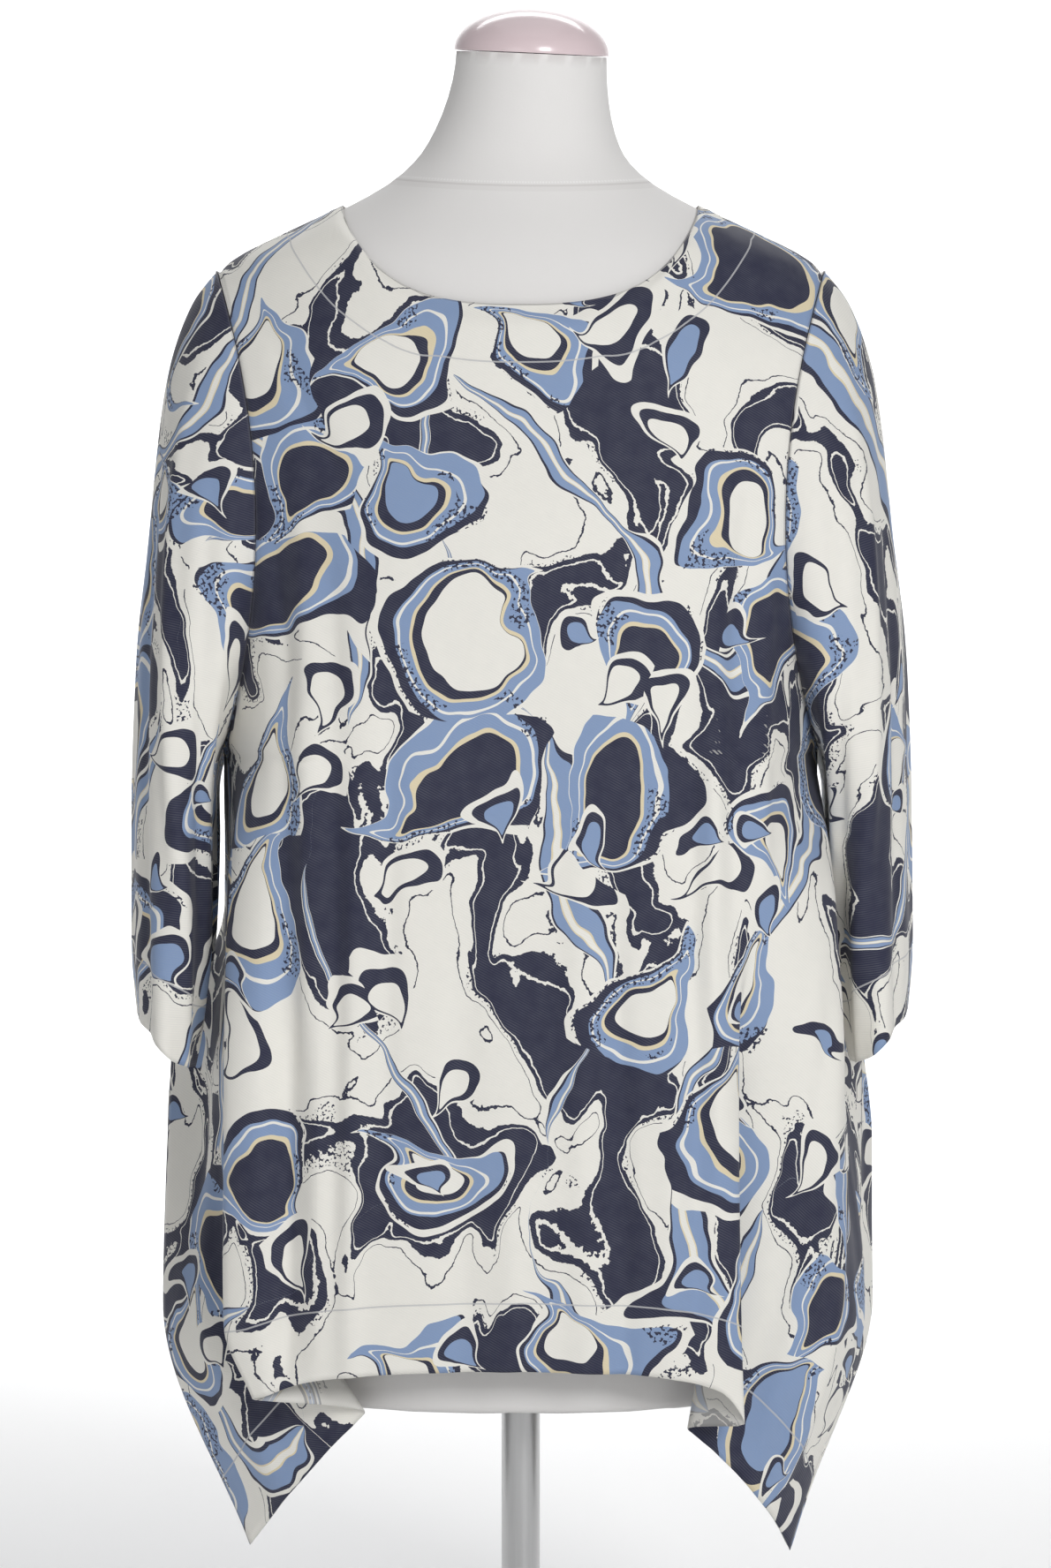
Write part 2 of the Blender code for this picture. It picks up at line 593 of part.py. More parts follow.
def build_blouse():
    back_right = BACK[:-1] + (FRONT_RIGHT[-1],)
    front = panel_grid(FRONT_LEFT, FRONT_RIGHT, "front")
    back = panel_grid(BACK, back_right, "back")
    front_normals = chest_normals(front, grid_normals(front, 1), "front")
    back_normals = chest_normals(back, grid_normals(back, -1), "back")
    ends = ((0, 1, -1), (-1, -2, 1))

    sleeves = {}
    for edge, _, sign in ends:
        rows = slice(0, ARMHOLE_ROWS + 1)
        grid = sleeve_grid(front[rows, edge], back[rows, edge], sign)
        sleeves[sign] = [grid, grid_normals(grid, -sign, closed=True)]

    shoulder = np.abs(front[0, :, 0]) > NECK_HALF_WIDTH - 1e-6
    common = shared(front_normals[0, shoulder], back_normals[0, shoulder])
    front_normals[0, shoulder] = common
    back_normals[0, shoulder] = common
    for edge, _, sign in ends:
        side = shared(front_normals[ARMHOLE_ROWS:, edge], back_normals[ARMHOLE_ROWS:, edge])
        ring = sleeves[sign][1]
        side[0] = unit(np.array([sign, 0.0, -1.0]))
        ring[0, ARMHOLE_ROWS] = side[0] * (-1, 1, 1)
        front_normals[ARMHOLE_ROWS:, edge] = side
        back_normals[ARMHOLE_ROWS:, edge] = side
        for i in range(1, ARMHOLE_ROWS):
            met = shared(front_normals[i, edge], ring[0, i])
            front_normals[i, edge] = ring[0, i] = met
            met = shared(back_normals[i, edge], ring[0, -i])
            back_normals[i, edge] = ring[0, -i] = met
        ring[0, 0] = front_normals[0, edge]

    for grid, normals in ((front, front_normals), (back, back_normals)):
        half_gap = SEAM_GAP / 2
        downward = inward(grid[0, shoulder], grid[1, shoulder], normals[0, shoulder])
        grid[0, shoulder] += downward * half_gap
        for edge, next_column, _ in ends:
            way = inward(grid[:, edge], grid[:, next_column], normals[:, edge])
            grid[:, edge] += way * half_gap
    for sign, (grid, normals) in sleeves.items():
        grid[0] += inward(grid[0], grid[1], normals[0]) * SEAM_GAP

    add_wall("blouse_front", front, front_normals, False, False)
    add_wall("blouse_back", back, back_normals, False, True)
    add_wall("sleeve_left", *sleeves[-1], True, False)
    add_wall("sleeve_right", *sleeves[1], True, True)


def build_form():
    points = []
    heights = []
    for low, high in zip(FORM_SECTIONS[:-1], FORM_SECTIONS[1:]):
        steps = max(1, round((high[0] - low[0]) / 0.035))
        heights += [low[0] + (high[0] - low[0]) * k / steps for k in range(steps)]
    heights.append(FORM_SECTIONS[-1][0])
    for height in heights:
        half_width = float(form_value("half_width", height))
        power = float(form_value("power", height))
        up_neck = float(ease(height, NECK_BASE, NECK_TOP))
        for k in range(FORM_RING_POINTS):
            angle = 2 * math.pi * k / FORM_RING_POINTS
            side = "front" if math.cos(angle) > 0 else "back"
            sine, cosine = math.sin(angle), -math.cos(angle)
            x = half_width * math.copysign(abs(sine) ** (2 / power), sine)
            depth = float(form_value(side, height))
            y = depth * math.copysign(abs(cosine) ** (2 / power), cosine)
            points.append((x + NECK_LEAN * up_neck, y, height - x * math.tan(NECK_TILT) * up_neck))
    rings = len(heights)
    count = FORM_RING_POINTS
    faces = [tuple(reversed(range(count))), tuple((rings - 1) * count + k for k in range(count))]
    for ring in range(rings - 1):
        for k in range(count):
            after = (k + 1) % count
            low, high = ring * count, (ring + 1) * count
            faces.append((low + k, low + after, high + after, high + k))
    add_object("dress_form", points, faces)


def turned(name, profile):
    """A closed solid turned about +Z from a profile of (radius, height), from the axis outwards."""
    points = [(0.0, 0.0, profile[0][1]), (0.0, 0.0, profile[-1][1])]
    inner = profile[1:-1]
    for radius, height in inner:
        for k in range(ROUND_STEPS):
            angle = 2 * math.pi * k / ROUND_STEPS
            points.append((radius * math.cos(angle), radius * math.sin(angle), height))
    faces = []
    last = 2 + (len(inner) - 1) * ROUND_STEPS
    for k in range(ROUND_STEPS):
        after = (k + 1) % ROUND_STEPS
        faces.append((0, 2 + after, 2 + k))
        faces.append((1, last + k, last + after))
        for ring in range(len(inner) - 1):
            low, high = 2 + ring * ROUND_STEPS, 2 + (ring + 1) * ROUND_STEPS
            faces.append((low + k, low + after, high + after, high + k))
    return add_object(name, points, faces)


def build_cap():
    profile = [(0.0, 0.0), (CAP_RADIUS - CAP_RIM, 0.0)]
    for k in range(1, 4):
        angle = math.radians(-90 + 30 * k)
        rim_x = CAP_RADIUS - CAP_RIM + CAP_RIM * math.cos(angle)
        profile.append((rim_x, CAP_RIM + CAP_RIM * math.sin(angle)))
    rise = CAP_HEIGHT - CAP_RIM
    for k in range(1, 7):
        angle = math.radians(90 * k / 7)
        profile.append((CAP_RADIUS * math.cos(angle), CAP_RIM + rise * math.sin(angle)))
    profile.append((0.0, CAP_HEIGHT))
    cap = turned("neck_cap", profile)
    cap.location = (NECK_LEAN, CAP_CENTRE_Y, NECK_TOP - NECK_LEAN * math.tan(NECK_TILT) + JOINT_GAP * 2)
    cap.rotation_euler = (0.0, NECK_TILT, 0.0)


def build_stand():
    bevel = BASE_BEVEL
    top = BASE_THICKNESS
    turned("stand_base", [
        (0.0, 0.0),
        (BASE_RADIUS - bevel, 0.0),
        (BASE_RADIUS, bevel),
        (BASE_RADIUS, top - bevel),
        (BASE_RADIUS - bevel, top),
        (0.0, top),
    ])
    pole_top = FORM_SECTIONS[0][0] - JOINT_GAP
    turned("stand_pole", [
        (0.0, top + JOINT_GAP),
        (POLE_RADIUS, top + JOINT_GAP),
        (POLE_RADIUS, pole_top),
        (0.0, pole_top),
    ])


def main():
    clear_scene()
    build_stand()
    build_form()
    build_cap()
    build_blouse()


main()
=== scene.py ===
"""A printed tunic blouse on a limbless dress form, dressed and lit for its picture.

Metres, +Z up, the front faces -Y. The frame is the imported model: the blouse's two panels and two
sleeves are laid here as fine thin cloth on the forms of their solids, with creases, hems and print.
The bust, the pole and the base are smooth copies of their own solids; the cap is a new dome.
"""

import functools
import math

import bpy
import numpy as np
from bpy.props import FloatProperty, FloatVectorProperty, PointerProperty
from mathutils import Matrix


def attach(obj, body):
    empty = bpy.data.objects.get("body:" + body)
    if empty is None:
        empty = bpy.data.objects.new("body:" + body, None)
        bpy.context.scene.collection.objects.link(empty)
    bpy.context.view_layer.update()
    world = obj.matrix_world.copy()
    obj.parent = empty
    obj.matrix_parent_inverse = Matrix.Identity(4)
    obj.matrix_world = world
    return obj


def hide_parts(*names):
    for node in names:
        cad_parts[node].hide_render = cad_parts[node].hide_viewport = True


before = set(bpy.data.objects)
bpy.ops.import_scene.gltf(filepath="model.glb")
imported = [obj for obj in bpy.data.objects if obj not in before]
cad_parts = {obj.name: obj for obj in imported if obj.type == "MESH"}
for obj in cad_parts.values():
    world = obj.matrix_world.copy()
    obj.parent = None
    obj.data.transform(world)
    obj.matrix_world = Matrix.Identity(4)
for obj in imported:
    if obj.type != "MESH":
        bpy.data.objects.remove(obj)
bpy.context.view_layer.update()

bl_info = {
    "name": "Printed blouse on a dress form",
    "version": (1, 0, 0),
    "blender": (4, 5, 0),
    "location": "View3D > Sidebar > Blouse",
    "description": "Lays the blouse's cloth on its dress form and lights it",
    "category": "Object",
}

# Dress form: level sections, from the flat underside to the top of the neck
FORM_COLUMNS = ("height", "half_width", "front", "back", "power")
FORM_SECTIONS = (
    (0.2000, 0.1330, 0.0850, 0.0830, 2.2),
    (0.2025, 0.1400, 0.0915, 0.0895, 2.2),
    (0.2090, 0.1425, 0.0940, 0.0920, 2.2),
    (0.2500, 0.1500, 0.0995, 0.1000, 2.2),
    (0.3100, 0.1600, 0.1050, 0.1100, 2.2),
    (0.3750, 0.1640, 0.1060, 0.1140, 2.2),
    (0.4500, 0.1560, 0.1040, 0.1030, 2.2),
    (0.5200, 0.1400, 0.0990, 0.0860, 2.2),
    (0.5750, 0.1320, 0.0980, 0.0760, 2.2),
    (0.6300, 0.1430, 0.1120, 0.0830, 2.2),
    (0.7150, 0.1640, 0.1330, 0.0960, 2.3),
    (0.7700, 0.1690, 0.1290, 0.1010, 2.3),
    (0.8200, 0.1740, 0.1180, 0.1050, 2.3),
    (0.8650, 0.1850, 0.1080, 0.1060, 2.1),
    (0.8950, 0.1950, 0.1000, 0.1030, 2.0),
    (0.9120, 0.1975, 0.0940, 0.0995, 1.9),
    (0.9250, 0.1952, 0.0895, 0.0970, 1.85),
    (0.9340, 0.1890, 0.0860, 0.0950, 1.8),
    (0.9415, 0.1785, 0.0830, 0.0935, 1.8),
    (0.9495, 0.1630, 0.0790, 0.0915, 1.8),
    (0.9580, 0.1450, 0.0745, 0.0890, 1.8),
    (0.9655, 0.1290, 0.0700, 0.0865, 1.8),
    (0.9730, 0.1134, 0.0655, 0.0830, 1.85),
    (0.9880, 0.0843, 0.0570, 0.0745, 2.0),
    (1.0030, 0.0686, 0.0510, 0.0650, 2.0),
    (1.0120, 0.0626, 0.0490, 0.0600, 2.0),
    (1.0310, 0.0545, 0.0470, 0.0550, 2.0),
    (1.0550, 0.0495, 0.0455, 0.0520, 2.0),
    (1.0720, 0.0487, 0.0452, 0.0510, 2.0),
)
NECK_BASE = 0.985

# Blouse: cut and levels
CLOTH = 0.0015
SEAM_GAP = 0.0005
CONTACT = 0.0003
CLEARANCE = 0.003
CLEAR_BELOW = 0.015
NECK_HALF_WIDTH = 0.115
NECK_DROP_FRONT = 0.062
NECK_DROP_BACK = 0.018
NECK_ROUNDNESS = 2.7
NECK_OVERSIZE = 0.0030
UNDERARM = 0.622
ELBOW_LEVEL = 0.520
MID_LEVEL = 0.420
LOW_LEVEL = 0.260
HANG_TOP = 0.945
HANG_FULL = 0.870
SPREAD_TOP = 0.860
SPREAD_FULL = 0.680

# Armhole seam: the loop through its highest, foremost, lowest and rearmost points
ARMHOLE_TOP = (0.1960, 0.000, 0.9330)
ARMHOLE_FRONT = (0.1690, -0.090, 0.7750)
ARMHOLE_BOTTOM = (0.1930, 0.000, UNDERARM)
ARMHOLE_BACK = (0.1720, 0.090, 0.7750)
ARMHOLE_LOOP = (ARMHOLE_TOP, ARMHOLE_FRONT, ARMHOLE_BOTTOM, ARMHOLE_BACK)
ROW_CROWDING = 1.35
FAN_END_X = 0.165

# Distance from the centre line of each fold column, on the shoulder seam and at the underarm
TOP_X = (0.000, 0.070, 0.115, 0.134, 0.150, 0.163, 0.174, 0.183, 0.190, 0.196)
UNDERARM_X = (0.000, 0.074, 0.130, 0.146, 0.160, 0.172, 0.182, 0.1885, 0.1912, 0.193)
NECK_END = 2
COLUMN_STEPS = (5, 6, 2, 2, 2, 3, 3, 3, 3)

# One row for each fold column, from the centre line to the side seam
FOLD_COLUMNS = ("elbow_x", "elbow_y", "mid_x", "mid_y", "low_x", "low_y", "hem_x", "hem_y",
                "hem_z")
FRONT_LEFT = (
    (0.000, -0.143, 0.000, -0.143, 0.000, -0.143, 0.000, -0.142, 0.2350),
    (0.073, -0.142, 0.074, -0.141, 0.075, -0.140, 0.076, -0.139, 0.2330),
    (0.128, -0.134, 0.130, -0.133, 0.131, -0.131, 0.132, -0.129, 0.2270),
    (0.146, -0.124, 0.147, -0.117, 0.148, -0.118, 0.149, -0.122, 0.2220),
    (0.167, -0.116, 0.168, -0.122, 0.165, -0.123, 0.161, -0.121, 0.2170),
    (0.189, -0.088, 0.192, -0.104, 0.190, -0.108, 0.170, -0.113, 0.2130),
    (0.185, -0.058, 0.176, -0.080, 0.136, -0.092, 0.101, -0.088, 0.2020),
    (0.187, -0.020, 0.190, -0.030, 0.172, -0.070, 0.123, -0.074, 0.1760),
    (0.191, 0.012, 0.205, 0.034, 0.212, -0.030, 0.152, -0.050, 0.1400),
    (0.194, 0.036, 0.230, 0.060, 0.234, 0.012, 0.177, -0.010, 0.1036),
)
FRONT_RIGHT = (
    (0.000, -0.143, 0.000, -0.143, 0.000, -0.143, 0.000, -0.142, 0.2350),
    (0.074, -0.142, 0.076, -0.142, 0.078, -0.141, 0.079, -0.140, 0.2320),
    (0.126, -0.136, 0.126, -0.135, 0.129, -0.133, 0.130, -0.132, 0.2190),
    (0.141, -0.129, 0.139, -0.124, 0.141, -0.125, 0.143, -0.124, 0.1990),
    (0.152, -0.122, 0.131, -0.107, 0.119, -0.099, 0.108, -0.092, 0.1920),
    (0.171, -0.112, 0.158, -0.104, 0.146, -0.092, 0.124, -0.084, 0.1760),
    (0.190, -0.097, 0.189, -0.100, 0.174, -0.086, 0.140, -0.074, 0.1590),
    (0.203, -0.074, 0.208, -0.078, 0.201, -0.066, 0.153, -0.060, 0.1420),
    (0.191, -0.010, 0.199, -0.008, 0.219, -0.026, 0.166, -0.036, 0.1220),
    (0.194, 0.036, 0.225, 0.066, 0.220, 0.015, 0.176, -0.010, 0.1000),
)
BACK = (
    (0.000, 0.121, 0.000, 0.122, 0.000, 0.126, 0.000, 0.126, 0.2350),
    (0.052, 0.122, 0.052, 0.124, 0.054, 0.129, 0.055, 0.129, 0.2320),
    (0.094, 0.120, 0.092, 0.122, 0.098, 0.132, 0.099, 0.131, 0.2280),
    (0.118, 0.115, 0.115, 0.109, 0.121, 0.112, 0.121, 0.111, 0.2220),
    (0.140, 0.110, 0.142, 0.116, 0.150, 0.121, 0.147, 0.119, 0.2130),
    (0.160, 0.100, 0.168, 0.105, 0.178, 0.110, 0.168, 0.104, 0.2000),
    (0.175, 0.089, 0.187, 0.091, 0.192, 0.086, 0.174, 0.079, 0.1850),
    (0.186, 0.075, 0.207, 0.093, 0.214, 0.080, 0.185, 0.056, 0.1650),
    (0.192, 0.056, 0.224, 0.082, 0.231, 0.052, 0.186, 0.026, 0.1350),
    (0.194, 0.036, 0.230, 0.060, 0.234, 0.012, 0.177, -0.010, 0.1036),
)
HANG_HEIGHTS = (UNDERARM, 0.700, 0.800, 0.930)
HANG_POWERS = (8.0, 4.2, 2.8, 3.5)

# Sleeve sections, from the armhole (share 0) to the cuff (share 1)
SLEEVE_COLUMNS = ("share", "outer_x", "outer_z", "inner_x", "inner_z", "side_x", "side_z",
                  "front_y", "back_y")
SLEEVE_SECTIONS = (
    (0.00, 0.1960, 0.9330, 0.1930, 0.6220, 0.1690, 0.7750, -0.090, 0.090),
    (0.10, 0.2120, 0.9110, 0.1955, 0.6130, 0.1850, 0.7450, -0.096, 0.094),
    (0.24, 0.2290, 0.8600, 0.1968, 0.5970, 0.2020, 0.7100, -0.098, 0.088),
    (0.40, 0.2395, 0.7700, 0.1972, 0.5720, 0.2130, 0.6600, -0.096, 0.074),
    (0.55, 0.2460, 0.6900, 0.1976, 0.5420, 0.2190, 0.6050, -0.094, 0.058),
    (0.75, 0.2490, 0.5800, 0.1995, 0.4970, 0.2230, 0.5300, -0.092, 0.042),
    (0.90, 0.2490, 0.5050, 0.2060, 0.4560, 0.2270, 0.4760, -0.090, 0.030),
    (1.00, 0.2470, 0.4530, 0.2120, 0.4200, 0.2290, 0.4330, -0.088, 0.024),
)
RIGHT_CUFF_BACKWARD = 0.036
RIGHT_CUFF_OUTWARD = 0.004

# Fine cloth: how densely each sheet is laid
CHEST_ROWS = 60
LOW_ROWS = 96
FINE_STEPS = (20, 22, 6, 6, 6, 9, 9, 9, 9)
SLEEVE_ROWS = 104
READ_POINTS = 80
# How often the cut is turned and fitted again while it is laid flat
FLATTENING_ROUNDS = 60
# The back beside the side seam, just below the underarm: how many rows and columns stay behind the
# seam, and how much further behind each next column lies
HELD_ROWS = 26
HELD_COLUMNS = 14
HELD_SLOPE = 0.00035

# Creases of each piece, in the flattened cloth. Each row: where it starts across and up, where it
# ends across and up, how wide it is, how far it stands out (or in) and how far it bows sideways.
FRONT_CREASES = (
    (-0.166, 0.800, -0.160, 0.430, 0.0085, -0.0036, 0.006),
    (-0.146, 0.850, -0.139, 0.380, 0.0075, 0.0030, 0.005),
    (-0.124, 0.830, -0.119, 0.230, 0.0080, -0.0034, 0.004),
    (-0.105, 0.640, -0.108, 0.150, 0.0085, 0.0032, -0.003),
    (-0.083, 0.740, -0.090, 0.300, 0.0070, -0.0022, 0.003),
    (-0.036, 0.540, -0.030, 0.150, 0.0120, -0.0030, -0.004),
    (-0.006, 0.420, -0.012, 0.140, 0.0090, 0.0024, 0.003),
    (0.038, 0.640, 0.046, 0.150, 0.0110, 0.0032, -0.003),
    (0.058, 0.620, 0.067, 0.150, 0.0080, -0.0034, 0.002),
    (0.090, 0.480, 0.094, 0.140, 0.0100, 0.0026, 0.004),
    (0.106, 0.760, 0.112, 0.180, 0.0085, -0.0034, 0.003),
    (0.128, 0.810, 0.127, 0.330, 0.0080, 0.0034, -0.004),
    (0.150, 0.850, 0.142, 0.480, 0.0085, -0.0034, -0.006),
    (0.170, 0.790, 0.163, 0.520, 0.0075, 0.0030, -0.004),
    (-0.168, 0.905, -0.104, 0.780, 0.0075, -0.0020, 0.000),
    (0.172, 0.910, 0.112, 0.770, 0.0080, -0.0018, 0.000),
    (-0.215, 0.560, -0.228, 0.100, 0.0100, -0.0042, 0.005),
    (-0.262, 0.520, -0.270, 0.140, 0.0090, 0.0036, 0.004),
    (-0.330, 0.480, -0.335, 0.120, 0.0120, 0.0044, 0.006),
    (0.222, 0.560, 0.236, 0.100, 0.0110, -0.0042, -0.005),
    (0.270, 0.500, 0.280, 0.130, 0.0090, 0.0036, -0.004),
    (0.335, 0.500, 0.340, 0.110, 0.0120, 0.0042, -0.006),
)
BACK_CREASES = (
    (0.004, 0.800, 0.010, 0.150, 0.0110, -0.0032, 0.006),
    (-0.024, 0.600, -0.030, 0.170, 0.0090, 0.0028, 0.003),
    (-0.048, 0.720, -0.058, 0.200, 0.0100, -0.0034, -0.005),
    (0.040, 0.560, 0.046, 0.150, 0.0100, 0.0030, -0.003),
    (0.066, 0.660, 0.076, 0.160, 0.0090, -0.0034, 0.004),
    (-0.078, 0.840, -0.084, 0.420, 0.0080, 0.0026, 0.004),
    (-0.100, 0.630, -0.108, 0.180, 0.0085, -0.0032, 0.003),
    (0.112, 0.740, 0.104, 0.280, 0.0095, 0.0034, -0.006),
    (0.132, 0.820, 0.126, 0.400, 0.0080, -0.0030, -0.004),
    (-0.148, 0.790, -0.136, 0.480, 0.0090, -0.0036, -0.006),
    (0.156, 0.770, 0.144, 0.500, 0.0085, -0.0034, 0.006),
    (-0.250, 0.500, -0.262, 0.120, 0.0110, 0.0040, 0.005),
    (0.246, 0.470, 0.260, 0.130, 0.0110, 0.0038, -0.005),
)
SLEEVE_CREASES = (
    (0.058, 0.930, 0.080, 0.300, 0.0070, 0.0044, 0.012),
    (0.030, 0.860, 0.044, 0.380, 0.0095, -0.0040, 0.008),
    (0.096, 0.840, 0.100, 0.470, 0.0080, -0.0030, 0.007),
    (0.118, 0.740, 0.122, 0.360, 0.0085, 0.0034, -0.006),
    (0.150, 0.640, 0.154, 0.380, 0.0090, -0.0026, 0.004),
    (-0.012, 0.780, -0.010, 0.420, 0.0100, 0.0030, 0.006),
    (-0.040, 0.860, -0.050, 0.440, 0.0080, -0.0028, 0.005),
    (-0.064, 0.800, -0.076, 0.330, 0.0090, 0.0038, 0.008),
    (-0.104, 0.700, -0.100, 0.350, 0.0085, -0.0032, -0.004),
    (-0.140, 0.620, -0.138, 0.380, 0.0090, 0.0026, -0.004),
)

# Height of the seam at the base of the neck, where it passes the side
NECK_SEAM = 0.9908

# The cap's dome, which leans with the neck. Its foot's height is the one above the form's middle line
CAP_RADIUS = 0.0502
CAP_HEIGHT = 0.0298
CAP_RIM = 0.0006
CAP_FOOT = (0.007, 0.003, 1.0729)
CAP_TILT = math.radians(2.6)

# Edges that turn more than this stay sharp
SHARP_EDGE = math.radians(40.0)

# The backdrop: a floor that curves up into a wall
BACKDROP_SIDE = 16.0
BACKDROP_BEND = 6.5
BACKDROP_CURVE = 2.0
BACKDROP_TOP = 9.0
BEND_STEPS = 16

# Name, place, what it points at, side in metres and power in watts
LIGHTS = (
    ("key_light", (1.9, -4.9, 2.5), (0.0, 0.0, 0.6), 1.5, 150.0),
    ("fill_light", (-2.2, -5.0, 1.7), (0.0, 0.0, 0.6), 2.4, 22.0),
    ("top_light", (0.0, 0.2, 3.6), (0.0, 0.0, 0.6), 2.4, 8.0),
    ("backdrop_light", (0.0, 4.6, 5.0), (0.0, 7.4, 0.0), 5.0, 470.0),
)
ROOM_LIGHT = 0.22

# The camera looks down over this drop on its way to the blouse
CAMERA_PLACE = (0.0031, -6.0, 1.02)
CAMERA_DROP = 0.42
CAMERA_LENS = 141.9

# Distances in the cut, in metres
FACING_DEPTH = 0.040
HEM_DEPTH = 0.044
SLEEVE_HEM_DEPTH = 0.040


def smooth_through(knots, values, at):
    """A curve through the knots that never swings past them, read at the places in at."""
    knots = np.asarray(knots, float)
    values = np.asarray(values, float)
    at = np.clip(np.asarray(at, float), knots[0], knots[-1])
    step = np.diff(knots)
    secant = np.diff(values) / step
    slope = np.empty_like(values)
    slope[0], slope[-1] = secant[0], secant[-1]
    before, after = secant[:-1], secant[1:]
    weight_a = 2 * step[1:] + step[:-1]
    weight_b = step[1:] + 2 * step[:-1]
    turning = before * after <= 0
    safe_before = np.where(turning, 1.0, before)
    safe_after = np.where(turning, 1.0, after)
    mean = (weight_a + weight_b) / (weight_a / safe_before + weight_b / safe_after)
    slope[1:-1] = np.where(turning, 0.0, mean)
    i = np.clip(np.searchsorted(knots, at, side="right") - 1, 0, len(knots) - 2)
    t = (at - knots[i]) / step[i]
    return (
        values[i] * (1 + 2 * t) * (1 - t) ** 2
        + slope[i] * step[i] * t * (1 - t) ** 2
        + values[i + 1] * t**2 * (3 - 2 * t)
        - slope[i + 1] * step[i] * t**2 * (1 - t)
    )


def ease(value, low, high):
    t = np.clip((value - low) / (high - low), 0.0, 1.0)
    return t * t * (3 - 2 * t)


def table_column(table, names, name):
    return [row[names.index(name)] for row in table]


def form_value(name, height):
    heights = table_column(FORM_SECTIONS, FORM_COLUMNS, "height")
    return smooth_through(heights, table_column(FORM_SECTIONS, FORM_COLUMNS, name), height)


def form_depth(x, z, side, offset):
    """How far the form, grown by offset, reaches from the plane Y = 0 at this place."""
    height = z - offset
    half_width = form_value("half_width", height) + offset
    depth = form_value(side, height) + offset
    power = form_value("power", height)
    share = np.clip(np.abs(x) / half_width, 0.0, 1.0)
    return depth * (1 - share**power) ** (1 / power)


@functools.lru_cache(maxsize=None)
def shoulder_line():
    heights = np.linspace(0.915, 1.0, 200)
    return form_value("half_width", heights)[::-1], heights[::-1]


def shoulder_height(x, offset):
    """The height of the form's shoulder line, grown by offset, at this distance from the centre."""
    widths, heights = shoulder_line()
    return float(np.interp(abs(x) - offset, widths, heights)) + offset


def neck_curve(x):
    share = x / (NECK_HALF_WIDTH + NECK_OVERSIZE)
    return (1 - share**NECK_ROUNDNESS) ** (1 / NECK_ROUNDNESS)


def top_edge_height(x, side):
    """The neckline's height out to its end on the shoulder, then the shoulder seam's."""
    offset = CONTACT + CLOTH
    if x >= NECK_HALF_WIDTH:
        return shoulder_height(x, offset)
    high = shoulder_height(NECK_HALF_WIDTH, offset)
    drop = NECK_DROP_FRONT if side == "front" else NECK_DROP_BACK
    end = neck_curve(NECK_HALF_WIDTH)
    return high - drop * (neck_curve(x) - end) / (1 - end)


def loop_point(top, front, bottom, back, angle):
    """A closed loop through four points: 0 is the top, 90 degrees the front, 180 the bottom."""
    top, front, bottom, back = (np.asarray(p, float) for p in (top, front, bottom, back))
    angle = np.asarray(angle, float)[..., None]
    centre = (top + bottom) / 2
    bow = (front + back) / 2 - centre
    return (
        centre
        + (top - bottom) / 2 * np.cos(angle)
        + (front - back) / 2 * np.sin(angle)
        + bow * np.sin(angle) ** 2
    )


def armhole_height(z, z_top):
    """The armhole's height beside this one. A column that starts below its top starts level with it."""
    if z_top >= ARMHOLE_TOP[2]:
        return min(z, ARMHOLE_TOP[2])
    return UNDERARM + (z - UNDERARM) * (ARMHOLE_TOP[2] - UNDERARM) / (z_top - UNDERARM)


def armhole_point(height, side):
    """The armhole seam's point at this height, on its front or its back half."""
    middle = (ARMHOLE_TOP[2] + ARMHOLE_BOTTOM[2]) / 2
    reach = (ARMHOLE_TOP[2] - ARMHOLE_BOTTOM[2]) / 2
    angle = math.acos(min(1.0, max(-1.0, (height - middle) / reach)))
    if side == "back":
        angle = -angle
    return loop_point(*ARMHOLE_LOOP, angle)


@functools.lru_cache(maxsize=None)
def centre_depths(side):
    """How deep the cloth hangs on the centre line, from the most forward point above each height."""
    heights = np.linspace(NECK_BASE, UNDERARM - 0.01, 1200)
    return heights[::-1], np.maximum.accumulate(form_value(side, heights))[::-1] + CLEARANCE


def centre_depth(z, side):
    heights, depths = centre_depths(side)
    return float(np.interp(z, heights, depths))


def hung_depth(x, z, z_top, side, seam):
    """The depth of cloth that lies on the form and, lower down, hangs clear of it."""
    below_edge = ease(z_top - z, 0.0, CLEAR_BELOW)
    offset = CONTACT + CLOTH + (CLEARANCE - CONTACT) * below_edge
    lying = form_depth(x, z, side, offset)
    centre = centre_depth(z, side)
    power = float(smooth_through(HANG_HEIGHTS, HANG_POWERS, z))
    hanging = centre - (centre - abs(seam[1])) * np.minimum(1.0, x / seam[0]) ** power
    gain = hanging - lying
    falling = 1 - ease(z, HANG_FULL, HANG_TOP)
    return lying + falling * np.maximum(0.0, 0.5 * (gain + np.hypot(gain, 0.003)))


def chest_depth(x, z, z_top, side):
    """The depth of the cloth above the underarm, drawn to the armhole seam at its edge."""
    seam = armhole_point(armhole_height(z, z_top), side)
    depth = hung_depth(x, z, z_top, side, seam)
    if z < ARMHOLE_TOP[2]:
        missing = abs(seam[1]) - float(hung_depth(seam[0], z, z_top, side, seam))
        depth = depth + missing * np.minimum(1.0, x / seam[0]) ** 12
    return depth


@functools.lru_cache(maxsize=None)
def level_spread(z, side):
    """Places across the chest at this height, and the share of the level's length up to each."""
    seam = armhole_point(z, side)
    across = seam[0] * np.sin(np.linspace(0.0, math.pi / 2, 60))
    depths = chest_depth(across, z, ARMHOLE_TOP[2], side)
    steps = np.hypot(np.diff(across), np.diff(depths))
    return across, np.concatenate([[0.0], np.cumsum(steps)]) / np.sum(steps)


